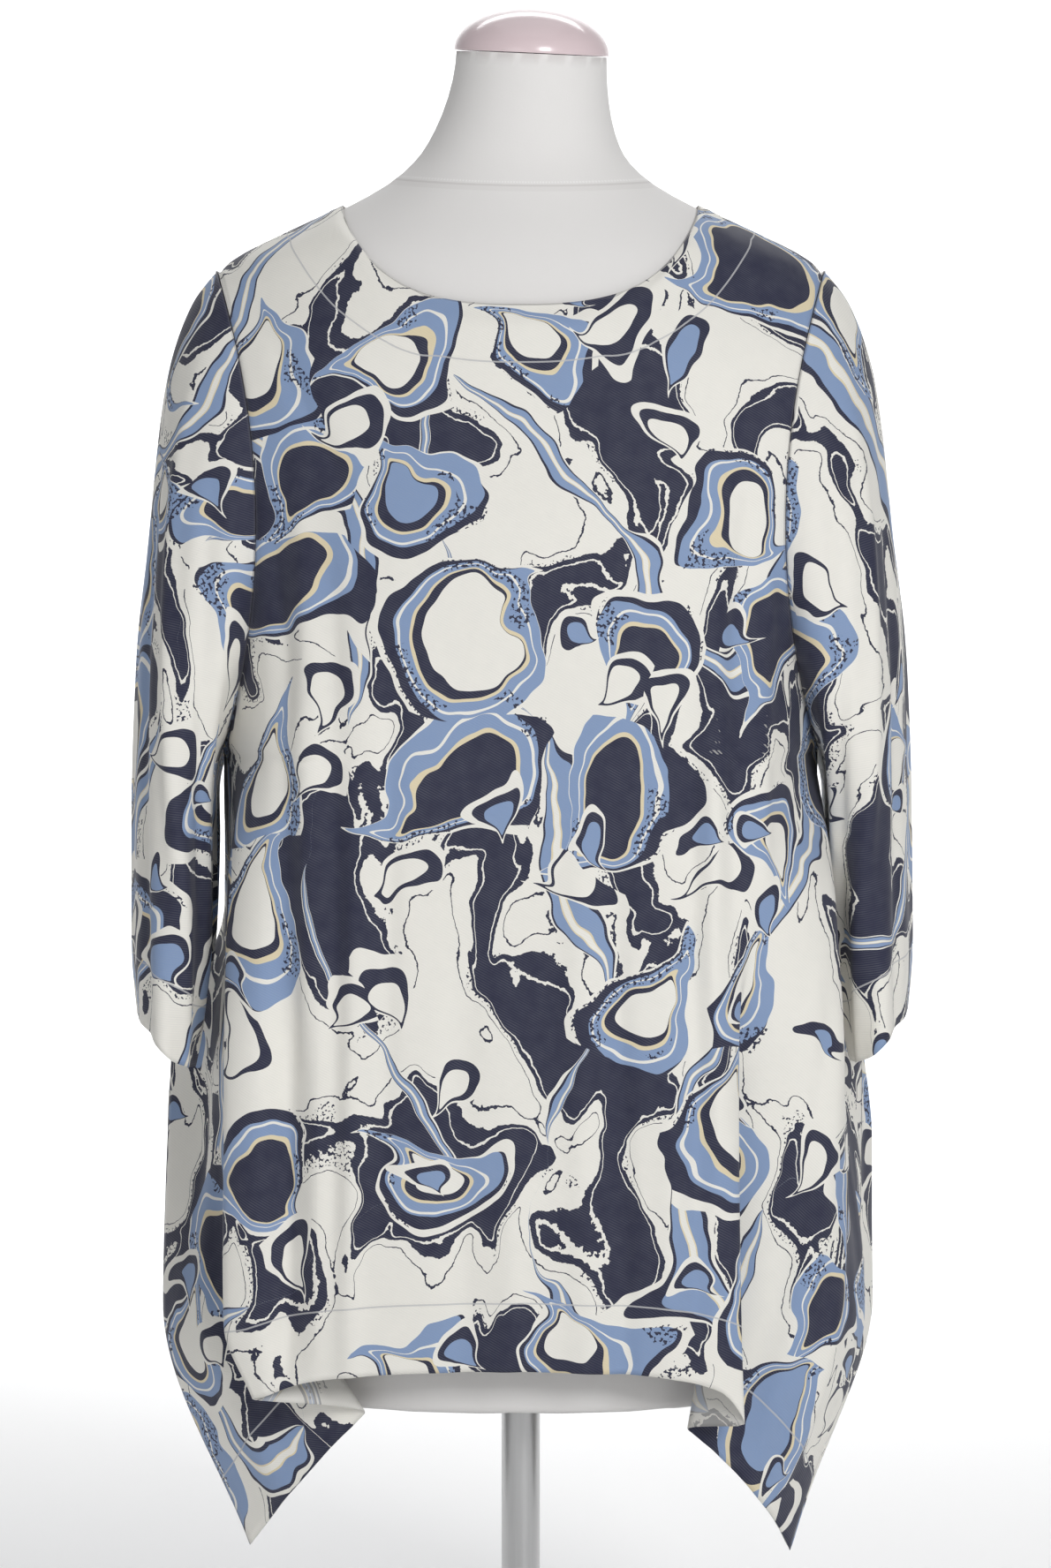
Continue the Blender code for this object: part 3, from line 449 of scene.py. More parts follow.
def chest_point(top_x, under_x, z, z_top, side):
    """A point of the cloth above the underarm, on the column with these ends."""
    down = (z_top - z) / (z_top - UNDERARM)
    straight = ARMHOLE_TOP[0] + (ARMHOLE_BOTTOM[0] - ARMHOLE_TOP[0]) * down
    near_neck = 1 - ease(top_x, NECK_HALF_WIDTH, FAN_END_X)
    moved = down + near_neck * (1 - (1 - math.sqrt(down)) ** 2 - down)
    share = top_x / ARMHOLE_TOP[0] * (1 - moved) + under_x / ARMHOLE_BOTTOM[0] * moved
    seam = armhole_point(armhole_height(z, z_top), side)
    x = share * straight + (seam[0] - straight) * share**6
    low = 1 - ease(z, SPREAD_FULL, SPREAD_TOP)
    if low > 0:
        across, shares = level_spread(UNDERARM, side)
        share = np.interp(under_x, across, shares)
        across, shares = level_spread(z, side)
        x += low * (np.interp(share, shares, across) - x)
    depth = float(chest_depth(x, z, z_top, side))
    return np.array([x, depth if side == "back" else -depth, z])


def lengths_along(points):
    steps = np.linalg.norm(np.diff(points, axis=0), axis=1)
    return np.concatenate([[0.0], np.cumsum(steps)])


def resampled(points, steps, crowding=1.0):
    """Points along a line of points, at even distances, or crowded towards its start."""
    points = np.asarray(points)
    lengths = lengths_along(points)
    at = lengths[-1] * np.linspace(0.0, 1.0, steps + 1) ** crowding
    return np.stack([smooth_through(lengths, points[:, k], at) for k in range(3)], axis=1)


def neckline_x(side, share):
    """How far out the neckline is at this share of its length from the centre line."""
    across = NECK_HALF_WIDTH * np.sin(np.linspace(0.0, math.pi / 2, 120))
    heights = [top_edge_height(min(x, NECK_HALF_WIDTH - 1e-9), side) for x in across]
    depths = [float(form_depth(x, z, side, CONTACT + CLOTH)) for x, z in zip(across, heights)]
    lengths = lengths_along(np.stack([across, depths, heights], axis=1))
    return float(np.interp(share * lengths[-1], lengths, across))


def fold_values(table, station, side):
    rows = np.arange(len(TOP_X))
    folds = {
        name: float(smooth_through(rows, table_column(table, FOLD_COLUMNS, name), station))
        for name in FOLD_COLUMNS
    }
    folds["under_x"] = float(smooth_through(rows, UNDERARM_X, station))
    if station < NECK_END:
        folds["top_x"] = neckline_x(side, folds["under_x"] / UNDERARM_X[NECK_END])
    else:
        folds["top_x"] = float(smooth_through(rows, TOP_X, station))
    return folds


def column(table, station, side):
    """One column of a panel's right half, from its top edge to its hem."""
    last = len(TOP_X) - 1
    folds = fold_values(table, station, side)
    if station >= last:
        turns = np.linspace(0.0, math.pi, READ_POINTS)
        if side == "back":
            turns = -turns
        upper = loop_point(*ARMHOLE_LOOP, turns)
        above = upper[-14]
    else:
        z_top = top_edge_height(folds["top_x"], side)
        drops = np.linspace(0.0, 1.0, READ_POINTS) ** 1.6
        ends = (folds["top_x"], folds["under_x"])
        upper = [chest_point(*ends, z_top + (UNDERARM - z_top) * q, z_top, side) for q in drops]
        above = chest_point(*ends, UNDERARM + 0.05, z_top, side)
    under = upper[-1]
    heights = [folds["hem_z"], LOW_LEVEL, MID_LEVEL, ELBOW_LEVEL, UNDERARM]
    across = [folds["hem_x"], folds["low_x"], folds["mid_x"], folds["elbow_x"], under[0]]
    along = [folds["hem_y"], folds["low_y"], folds["mid_y"], folds["elbow_y"], under[1]]
    if station < last:
        heights.append(above[2])
        across.append(above[0])
        along.append(above[1])
    levels = np.linspace(UNDERARM, folds["hem_z"], 60)
    lower = np.stack(
        [smooth_through(heights, across, levels), smooth_through(heights, along, levels), levels],
        axis=1,
    )
    chest = resampled(upper, CHEST_ROWS, ROW_CROWDING)
    return np.concatenate([chest, resampled(lower, LOW_ROWS)[1:]])


def stations(steps_between):
    places = [0.0]
    for row, steps in enumerate(steps_between):
        places += [row + (k + 1) / steps for k in range(steps)]
    return places


def laid_finely(grid, knots, at):
    """Finer columns of a grid, on smooth curves through its own."""
    step = np.diff(knots)
    secant = np.diff(grid, axis=1) / step[None, :, None]
    slope = np.empty_like(grid)
    before, after = step[None, :-1, None], step[None, 1:, None]
    slope[:, 1:-1] = (secant[:, :-1] * after + secant[:, 1:] * before) / (before + after)
    slope[:, 0], slope[:, -1] = secant[:, 0], secant[:, -1]
    i = np.clip(np.searchsorted(knots, at, side="right") - 1, 0, len(knots) - 2)
    t = ((at - knots[i]) / step[i])[None, :, None]
    width = step[i][None, :, None]
    return (
        grid[:, i] * (1 + 2 * t) * (1 - t) ** 2
        + slope[:, i] * width * t * (1 - t) ** 2
        + grid[:, i + 1] * t**2 * (3 - 2 * t)
        - slope[:, i + 1] * width * t**2 * (1 - t)
    )


def panel_grid(left, right, side):
    """The panel's outer face: rows from top to hem, columns from -X to +X."""
    coarse = stations(COLUMN_STEPS)
    grid = [column(left, s, side) * (-1, 1, 1) for s in reversed(coarse[1:])]
    grid += [column(right, s, side) for s in coarse]
    grid = np.stack(grid, axis=1)
    spaces = np.linalg.norm(np.diff(grid, axis=1), axis=2).mean(axis=0)
    knots = np.concatenate([[0.0], np.cumsum(spaces)])
    fine = stations(FINE_STEPS)
    mirrored = [-s for s in reversed(coarse[1:])] + coarse
    wanted = [-s for s in reversed(fine[1:])] + fine
    grid = laid_finely(grid, knots, np.interp(wanted, mirrored, knots))
    # The front stays before the shoulder seam, and the back behind it
    chest = grid[:CHEST_ROWS, :, 1]
    chest[:] = np.minimum(chest, 0.0) if side == "front" else np.maximum(chest, 0.0)
    return grid


def held_behind(back):
    """Keeps the back's cloth behind its side seams, just below the underarms."""
    rows = slice(CHEST_ROWS, CHEST_ROWS + HELD_ROWS)
    for edge, step in ((0, 1), (-1, -1)):
        for count in range(1, HELD_COLUMNS):
            least = back[rows, edge, 1] + HELD_SLOPE * count
            place = edge + step * count
            back[rows, place, 1] = np.maximum(back[rows, place, 1], least)


def unit(vectors):
    return vectors / np.maximum(np.linalg.norm(vectors, axis=-1, keepdims=True), 1e-12)


def grid_normals(grid, outward, closed=False):
    """Normals of a grid: down its rows crossed with along its columns, times outward."""
    down = np.gradient(grid, axis=0)
    if closed:
        across = (np.roll(grid, -1, axis=1) - np.roll(grid, 1, axis=1)) / 2
    else:
        across = np.gradient(grid, axis=1)
    return unit(np.cross(down, across)) * outward


def inward(edge, neighbour, normals):
    """Directions from an edge into its sheet, along the sheet."""
    way = neighbour - edge
    way = way - normals * np.sum(way * normals, axis=-1, keepdims=True)
    return unit(way)


def sleeve_grid(front_edge, back_edge, sign):
    """Rows from the armhole to the cuff, columns once round: top, front, underarm, back."""
    edge = np.concatenate([front_edge, back_edge[-2:0:-1]]) * (sign, 1, 1)
    middle = (ARMHOLE_TOP[2] + ARMHOLE_BOTTOM[2]) / 2
    reach = (ARMHOLE_TOP[2] - ARMHOLE_BOTTOM[2]) / 2
    angles = np.arccos(np.clip((edge[:, 2] - middle) / reach, -1.0, 1.0))
    angles[CHEST_ROWS + 1:] = 2 * math.pi - angles[CHEST_ROWS + 1:]
    even = 2 * math.pi * np.arange(len(angles)) / len(angles)
    drift_x = RIGHT_CUFF_OUTWARD if sign > 0 else 0.0
    drift_y = RIGHT_CUFF_BACKWARD if sign > 0 else 0.0
    shares = table_column(SLEEVE_SECTIONS, SLEEVE_COLUMNS, "share")
    rows = []
    for share in np.linspace(0.0, 1.0, SLEEVE_ROWS + 1):
        read = {
            name: float(smooth_through(shares, table_column(SLEEVE_SECTIONS, SLEEVE_COLUMNS, name), share))
            for name in SLEEVE_COLUMNS
        }
        out = drift_x * share**2
        back = drift_y * float(ease(share, 0.0, 1.0))
        middle_y = (read["front_y"] + read["back_y"]) / 2 * float(ease(share, 0.0, 0.6)) + back
        near_armhole = float(ease(share, 0.0, 0.3))
        back_x = ARMHOLE_BACK[0] + (read["side_x"] - ARMHOLE_BACK[0]) * near_armhole
        turn = angles + (even - angles) * float(ease(share, 0.0, 0.7))
        rows.append(loop_point(
            (read["outer_x"] + out, middle_y, read["outer_z"]),
            (read["side_x"] + out, read["front_y"] + back, read["side_z"]),
            (read["inner_x"] + out, middle_y, read["inner_z"]),
            (back_x + out, read["back_y"] + back, read["side_z"]),
            turn,
        ))
    grid = np.array(rows)
    grid[0] = edge
    return grid * (sign, 1, 1)


# The panels' two edges: the edge column, the column next to it, and its side of the body
ENDS = ((0, 1, -1), (-1, -2, 1))


def share_normals(front, back, rings, shoulder):
    """Gives both cloths of each seam the same normals along it."""
    common = unit(front[0, shoulder] + back[0, shoulder])
    front[0, shoulder] = common
    back[0, shoulder] = common
    for edge, _, sign in ENDS:
        ring = rings[sign]
        side = unit(front[CHEST_ROWS:, edge] + back[CHEST_ROWS:, edge])
        side[0] = unit(np.array([sign, 0.0, -1.0]))
        front[CHEST_ROWS:, edge] = side
        back[CHEST_ROWS:, edge] = side
        upper = slice(1, CHEST_ROWS)
        met = unit(front[upper, edge] + ring[0, upper])
        front[upper, edge] = met
        ring[0, upper] = met
        behind = ring[0, :CHEST_ROWS:-1]
        met = unit(back[upper, edge] + behind)
        back[upper, edge] = met
        ring[0, :CHEST_ROWS:-1] = met
        ring[0, 0] = front[0, edge]
        ring[0, CHEST_ROWS] = side[0] * (-1, 1, 1)


def best_fit(rows, columns):
    """Gives back a function that finds the values of a grid from the steps wanted between them."""
    down = np.diff(np.eye(rows), axis=0)
    along = np.diff(np.eye(columns), axis=0)
    row_pull, row_turn = np.linalg.eigh(down.T @ down)
    column_pull, column_turn = np.linalg.eigh(along.T @ along)
    weight = row_pull[:, None] + column_pull[None, :]
    weight[0, 0] = 1.0

    def fitted(falls, runs):
        sought = row_turn.T @ (down.T @ falls + runs @ along) @ column_turn
        sought[0, 0] = 0.0
        return row_turn @ (sought / weight) @ column_turn.T

    return fitted


def flattened(grid, normals, start, level_row, steadied):
    """Where each point lies in the cut, across and up from the level row's start."""
    across = np.gradient(grid, axis=1)
    level = np.cross(normals, (0.0, 0.0, 1.0))
    level = level * np.sign(np.median(np.sum(level * across, axis=-1)))
    level = unit(unit(across) * steadied + level)
    level = unit(level - normals * np.sum(level * normals, axis=-1, keepdims=True))
    upward = np.cross(level, normals)
    down = np.gradient(grid, axis=0)
    upward = upward * -np.sign(np.median(np.sum(upward * down, axis=-1)))
    # Steps are complex numbers: across the cut is the real part, up the cut the other
    axes = level + 1j * upward
    falls = np.sum(np.diff(grid, axis=0) * (axes[1:] + axes[:-1]), axis=-1)
    falls *= np.linalg.norm(np.diff(grid, axis=0), axis=-1) / np.maximum(np.abs(falls), 1e-12)
    runs = np.sum(np.diff(grid, axis=1) * (axes[:, 1:] + axes[:, :-1]), axis=-1)
    runs *= np.linalg.norm(np.diff(grid, axis=1), axis=-1) / np.maximum(np.abs(runs), 1e-12)
    fitted = best_fit(*grid.shape[:2])
    turn = np.ones(grid.shape[:2], complex)
    for _ in range(FLATTENING_ROUNDS):
        spot = fitted(falls * (turn[1:] + turn[:-1]) / 2, runs * (turn[:, 1:] + turn[:, :-1]) / 2)
        fall_match = np.conj(falls) * np.diff(spot, axis=0)
        run_match = np.conj(runs) * np.diff(spot, axis=1)
        turn = np.zeros_like(turn)
        turn[1:] += fall_match
        turn[:-1] += fall_match
        turn[:, 1:] += run_match
        turn[:, :-1] += run_match
        turn /= np.maximum(np.abs(turn), 1e-15)
    tilt = np.sum(turn)
    spot = spot * np.conj(tilt) / abs(tilt)
    spot = spot - spot[level_row, start] + 1j * grid[level_row, start, 2]
    return np.stack([spot.real, spot.imag], axis=-1)


def distance_to(place, line):
    """How far each point of the cut is from a line drawn on it."""
    flat = place.reshape(-1, 2)
    nearest = np.full(len(flat), 1e3)
    for first, second in zip(line[:-1], line[1:]):
        way = second - first
        share = np.clip((flat - first) @ way / max(float(way @ way), 1e-12), 0.0, 1.0)
        gap = np.linalg.norm(flat - first - share[:, None] * way, axis=1)
        nearest = np.minimum(nearest, gap)
    return nearest.reshape(place.shape[:2])


def creased(place, creases):
    """How far the cloth stands out at each point of the cut."""
    lift = np.zeros(place.shape[:2])
    for start_x, start_z, end_x, end_z, width, height, bow in creases:
        along = (start_z - place[:, :, 1]) / (start_z - end_z)
        centre = start_x + (end_x - start_x) * along + bow * np.sin(math.pi * np.clip(along, 0.0, 1.0))
        fade = ease(along, 0.0, 0.3) * (1 - ease(along, 0.8, 1.0))
        lift += height * fade * np.exp(-(((place[:, :, 0] - centre) / width) ** 2))
    return lift


class Sheet:
    """One cut piece of cloth: its grid, its normals, its place in the cut and its edges."""

    def __init__(self, grid, outward, closed):
        self.grid = grid
        self.outward = outward
        self.closed = closed
        self.normals = grid_normals(grid, outward, closed)

    def opened(self, values):
        """A tube's values with its first column again after its last."""
        return np.concatenate([values, values[:, :1]], axis=1) if self.closed else values

    def lay_out(self, start, level_row):
        steadied = 0.0 if self.closed else 0.05
        grid, normals = self.opened(self.grid), self.opened(self.normals)
        self.place = flattened(grid, normals, start, level_row, steadied)


def refreshed(sheets, shoulder):
    for sheet in sheets.values():
        sheet.normals = grid_normals(sheet.grid, sheet.outward, sheet.closed)
    rings = {-1: sheets["left"].normals, 1: sheets["right"].normals}
    share_normals(sheets["front"].normals, sheets["back"].normals, rings, shoulder)


@functools.lru_cache(maxsize=None)
def cut_sheets():
    """The blouse's four sheets, laid on the form, creased and ready to be made thick."""
    sizes = bpy.context.scene.blouse_sizes
    back_right = BACK[:-1] + (FRONT_RIGHT[-1],)
    front = panel_grid(FRONT_LEFT, FRONT_RIGHT, "front")
    back = panel_grid(BACK, back_right, "back")
    held_behind(back)
    sheets = {"front": Sheet(front, 1, False), "back": Sheet(back, -1, False)}
    rows = slice(0, CHEST_ROWS + 1)
    for edge, _, sign in ENDS:
        grid = sleeve_grid(front[rows, edge], back[rows, edge], sign)
        sheets["right" if sign > 0 else "left"] = Sheet(grid, -sign, True)
    shoulder = np.abs(front[0, :, 0]) > NECK_HALF_WIDTH - 1e-6
    refreshed(sheets, shoulder)
    for name in ("front", "back"):
        sheet = sheets[name]
        grid, normals = sheet.grid, sheet.normals
        downward = inward(grid[0, shoulder], grid[1, shoulder], normals[0, shoulder])
        grid[0, shoulder] += downward * SEAM_GAP / 2
        for edge, beside, _ in ENDS:
            grid[:, edge] += inward(grid[:, edge], grid[:, beside], normals[:, edge]) * SEAM_GAP / 2
    for name in ("left", "right"):
        sheet = sheets[name]
        sheet.grid[0] += inward(sheet.grid[0], sheet.grid[1], sheet.normals[0]) * SEAM_GAP
    for name in ("front", "back"):
        sheet = sheets[name]
        middle = sheet.grid.shape[1] // 2
        sheet.lay_out(middle, CHEST_ROWS)
        place = sheet.place
        neck = place[0, ~shoulder]
        sheet.from_neck = distance_to(place, neck)
        sheet.from_hem = distance_to(place, place[-1])
        top = place[0, shoulder]
        half = int(shoulder.sum()) // 2
        seams = [top[:half], top[half:], place[:, 0], place[:, -1]]
        sheet.from_seam = np.min([distance_to(place, line) for line in seams], axis=0)
        creases = FRONT_CREASES if name == "front" else BACK_CREASES
        lift = creased(place, creases)
        lift *= ease(sheet.from_seam, 0.002, 0.020) * ease(sheet.from_neck, 0.004, 0.030)
        lift -= sizes.seam_groove * np.exp(-((sheet.from_seam / 0.0030) ** 2))
        sheet.lift = lift
    for name in ("left", "right"):
        sheet = sheets[name]
        sheet.grid = np.roll(sheet.grid, -CHEST_ROWS, axis=1)
        sheet.normals = np.roll(sheet.normals, -CHEST_ROWS, axis=1)
        sheet.lay_out(CHEST_ROWS, SLEEVE_ROWS)
        place = sheet.place
        sheet.from_hem = distance_to(place, place[-1])
        sheet.from_seam = distance_to(place, place[0])
        sheet.from_neck = np.full_like(sheet.from_hem, 1.0)
        lift = creased(place, SLEEVE_CREASES)[:, :-1]
        from_seam = sheet.from_seam[:, :-1]
        lift *= ease(from_seam, 0.002, 0.030)
        lift -= sizes.seam_groove * np.exp(-((from_seam / 0.0030) ** 2))
        sheet.lift = lift
        sheet.grid = np.roll(sheet.grid, CHEST_ROWS, axis=1)
        sheet.normals = np.roll(sheet.normals, CHEST_ROWS, axis=1)
        sheet.lift = np.roll(sheet.lift, CHEST_ROWS, axis=1)
    for sheet in sheets.values():
        sheet.grid = sheet.grid + sheet.normals * sheet.lift[..., None]
    refreshed(sheets, shoulder)
    for name in ("left", "right"):
        sheet = sheets[name]
        sheet.grid = np.roll(sheet.grid, -CHEST_ROWS, axis=1)
        sheet.normals = np.roll(sheet.normals, -CHEST_ROWS, axis=1)
    return sheets


def grid_cells(rows, columns, width):
    """Corner numbers of a grid's cells, for rows that hold width points each."""
    first = (np.arange(rows - 1)[:, None] * width + np.arange(columns - 1)[None, :]).reshape(-1)
    return np.stack([first, first + width, first + width + 1, first + 1], axis=1)


def thick_cloth(name, sheet, shift):
    """A closed thin cloth under a sheet, with its cut as UVs and its distances as attributes."""
    sizes = bpy.context.scene.blouse_sizes
    grid, normals = sheet.grid, sheet.normals
    rows, columns = grid.shape[:2]
    wide = columns + 1 if sheet.closed else columns
    from_hem = sheet.from_hem[:, :columns]
    hem_depth = SLEEVE_HEM_DEPTH if sheet.closed else HEM_DEPTH
    doubled = 1 - ease(from_hem, hem_depth - 0.001, hem_depth + 0.001)
    thickness = sizes.thickness + sizes.hem_extra * doubled
    # Pressed thin along the seams, so that two cloths that meet there stay apart
    thickness = thickness * (0.25 + 0.75 * ease(sheet.from_seam[:, :columns], 0.0, 0.009))
    inner = grid - normals * thickness[..., None]
    points = np.concatenate([grid.reshape(-1, 3), inner.reshape(-1, 3)])
    count = rows * columns

    corners = grid_cells(rows, wide, wide)
    around = (np.arange(wide) % columns)[None, :]
    ids = (np.arange(rows)[:, None] * columns + around).reshape(-1)
    outer_faces = ids[corners]
    inner_faces = ids[corners][:, ::-1] + count
    faces = [outer_faces, inner_faces]
    spots = [corners, corners[:, ::-1]]

    def rim(line):
        a, b = line[:-1], line[1:]
        faces.append(np.stack([ids[a], ids[b], ids[b] + count, ids[a] + count], axis=1))
        spots.append(np.stack([a, b, b, a], axis=1))

    rim(np.arange(wide))
    rim(np.arange(wide)[::-1] + (rows - 1) * wide)
    if not sheet.closed:
        rim(np.arange(rows)[::-1] * wide)
        rim(np.arange(rows) * wide + wide - 1)
    faces = np.concatenate(faces)
    spots = np.concatenate(spots)
    if sheet.outward < 0:
        faces = faces[:, ::-1]
        spots = spots[:, ::-1]

    mesh = bpy.data.meshes.new(name)
    mesh.from_pydata(points.tolist(), [], faces.tolist())
    layer = mesh.uv_layers.new(name="cut")
    uvs = sheet.place.reshape(-1, 2)[spots.reshape(-1)] + np.asarray(shift)
    layer.data.foreach_set("uv", uvs.astype(np.float32).reshape(-1))
    for label, values in (("from_neck", sheet.from_neck), ("from_hem", sheet.from_hem),
                          ("from_seam", sheet.from_seam)):
        single = values[:, :columns].reshape(-1)
        attribute = mesh.attributes.new(label, "FLOAT", "POINT")
        attribute.data.foreach_set("value", np.concatenate([single, single]).astype(np.float32))
    inside = mesh.attributes.new("wrong_side", "FLOAT", "POINT")
    sides = np.concatenate([np.zeros(count), np.ones(count)])
    inside.data.foreach_set("value", sides.astype(np.float32))
    mesh.shade_smooth()
    piece = bpy.data.objects.new(name, mesh)
    bpy.context.scene.collection.objects.link(piece)
    return piece


def cut_size(sheet):
    """Width, length and area of a sheet before it was sewn and hung."""
    place = sheet.place
    width = float(place[:, :, 0].max() - place[:, :, 0].min())
    length = float(place[:, :, 1].max() - place[:, :, 1].min())
    grid = sheet.opened(sheet.grid)
    side = grid[1:, :-1] - grid[:-1, :-1], grid[1:, 1:] - grid[1:, :-1]
    other = grid[:-1, 1:] - grid[1:, 1:], grid[:-1, :-1] - grid[:-1, 1:]
    area = np.linalg.norm(np.cross(*side), axis=-1) + np.linalg.norm(np.cross(*other), axis=-1)
    return width, length, float(area.sum() / 2)


class Recipe:
    """One material's nodes, added one after another."""

    def __init__(self, name):
        self.material = bpy.data.materials.new(name)
        self.material.use_nodes = True
        self.tree = self.material.node_tree
        self.shader = self.tree.nodes["Principled BSDF"]

    def put(self, socket, value):
        if isinstance(value, bpy.types.NodeSocket):
            self.tree.links.new(value, socket)
        else:
            socket.default_value = value

    def add(self, kind, inputs=None, **settings):
        node = self.tree.nodes.new(kind)
        for key, value in settings.items():
            setattr(node, key, value)
        for key, value in (inputs or {}).items():
            self.put(node.inputs[key], value)
        return node

    def number(self, operation, *values):
        node = self.add("ShaderNodeMath", operation=operation)
        for socket, value in zip(node.inputs, values):
            self.put(socket, value)
        return node.outputs[0]

    def vector(self, operation, *values):
        node = self.add("ShaderNodeVectorMath", operation=operation)
        for socket, value in zip(node.inputs, values):
            self.put(socket, value)
        return node.outputs["Vector"]

    def scaled(self, vector, amount):
        node = self.add("ShaderNodeVectorMath", operation="SCALE")
        self.put(node.inputs[0], vector)
        self.put(node.inputs["Scale"], amount)
        return node.outputs["Vector"]

    def attribute(self, name):
        return self.add("ShaderNodeAttribute", attribute_name=name).outputs["Fac"]

    def noise(self, place, scale, detail=2.0, roughness=0.5, distortion=0.0):
        return self.add(
            "ShaderNodeTexNoise",
            {"Vector": place, "Scale": scale, "Detail": detail, "Roughness": roughness,
             "Distortion": distortion},
            noise_dimensions="2D",
        )

    def over(self, share, below, above):
        """The colour above where share is 1, and the one below where it is 0."""
        node = self.add("ShaderNodeMix", data_type="RGBA")
        self.put(node.inputs[0], share)
        self.put(node.inputs[6], below)
        self.put(node.inputs[7], above)
        return node.outputs[2]

    def less(self, value, limit):
        return self.number("LESS_THAN", value, limit)

    def more(self, value, limit):
        return self.number("GREATER_THAN", value, limit)

    def both(self, first, second):
        return self.number("MULTIPLY", first, second)

    def within(self, value, centre, reach):
        return self.number("COMPARE", value, centre, reach)


def solid(colour):
    return (*colour, 1.0)


def drops(recipe, place, scale, shift, size_low, size_range):
    """Nested drops, one in each cell: how far out of its drop a point is, and the cell's chance."""
    cells = recipe.add(
        "ShaderNodeTexVoronoi",
        {"Vector": recipe.vector("ADD", place, shift), "Scale": scale, "Randomness": 0.72},
        voronoi_dimensions="2D",
    )
    local = recipe.vector("SUBTRACT", recipe.vector("ADD", place, shift), cells.outputs["Position"])
    chance = recipe.add("ShaderNodeSeparateColor", {"Color": cells.outputs["Color"]})
    red, green, blue = chance.outputs[0], chance.outputs[1], chance.outputs[2]
    angle = recipe.number("MULTIPLY_ADD", red, 1.5, -0.75)
    angle = recipe.number("MULTIPLY_ADD", recipe.more(blue, 0.62), math.pi, angle)
    size = recipe.number("MULTIPLY_ADD", green, size_range, size_low)
    local = recipe.scaled(local, recipe.number("DIVIDE", 1.0, size))
    reach = recipe.add("ShaderNodeVectorMath", {0: local}, operation="LENGTH").outputs["Value"]
    hook = recipe.number("MULTIPLY", reach, recipe.number("MULTIPLY_ADD", green, 1.3, -0.65))
    angle = recipe.number("ADD", angle, hook)
    turned = recipe.add(
        "ShaderNodeVectorRotate", {"Vector": local, "Angle": angle}, rotation_type="Z_AXIS"
    ).outputs[0]
    parts = recipe.add("ShaderNodeSeparateXYZ", {"Vector": turned})
    across, up = parts.outputs[0], parts.outputs[1]
    tail = recipe.number("MAXIMUM", up, 0.0)
    tail = recipe.number("MULTIPLY_ADD", recipe.number("MULTIPLY", tail, tail), 0.9, 1.0)
    pinch = recipe.number("MULTIPLY", recipe.number("EXPONENT", recipe.number("MULTIPLY", up, 0.42)), tail)
    across = recipe.number("MULTIPLY", across, pinch)
    up = recipe.number("MULTIPLY", up, 0.64)
    return across, up, red, green, blue


def ring(recipe, across, up, shift_x=0.0, shift_y=0.0):
    x = recipe.number("SUBTRACT", across, shift_x)
    y = recipe.number("SUBTRACT", up, shift_y)
    squares = recipe.number("ADD", recipe.number("MULTIPLY", x, x), recipe.number("MULTIPLY", y, y))
    return recipe.number("SQRT", squares)


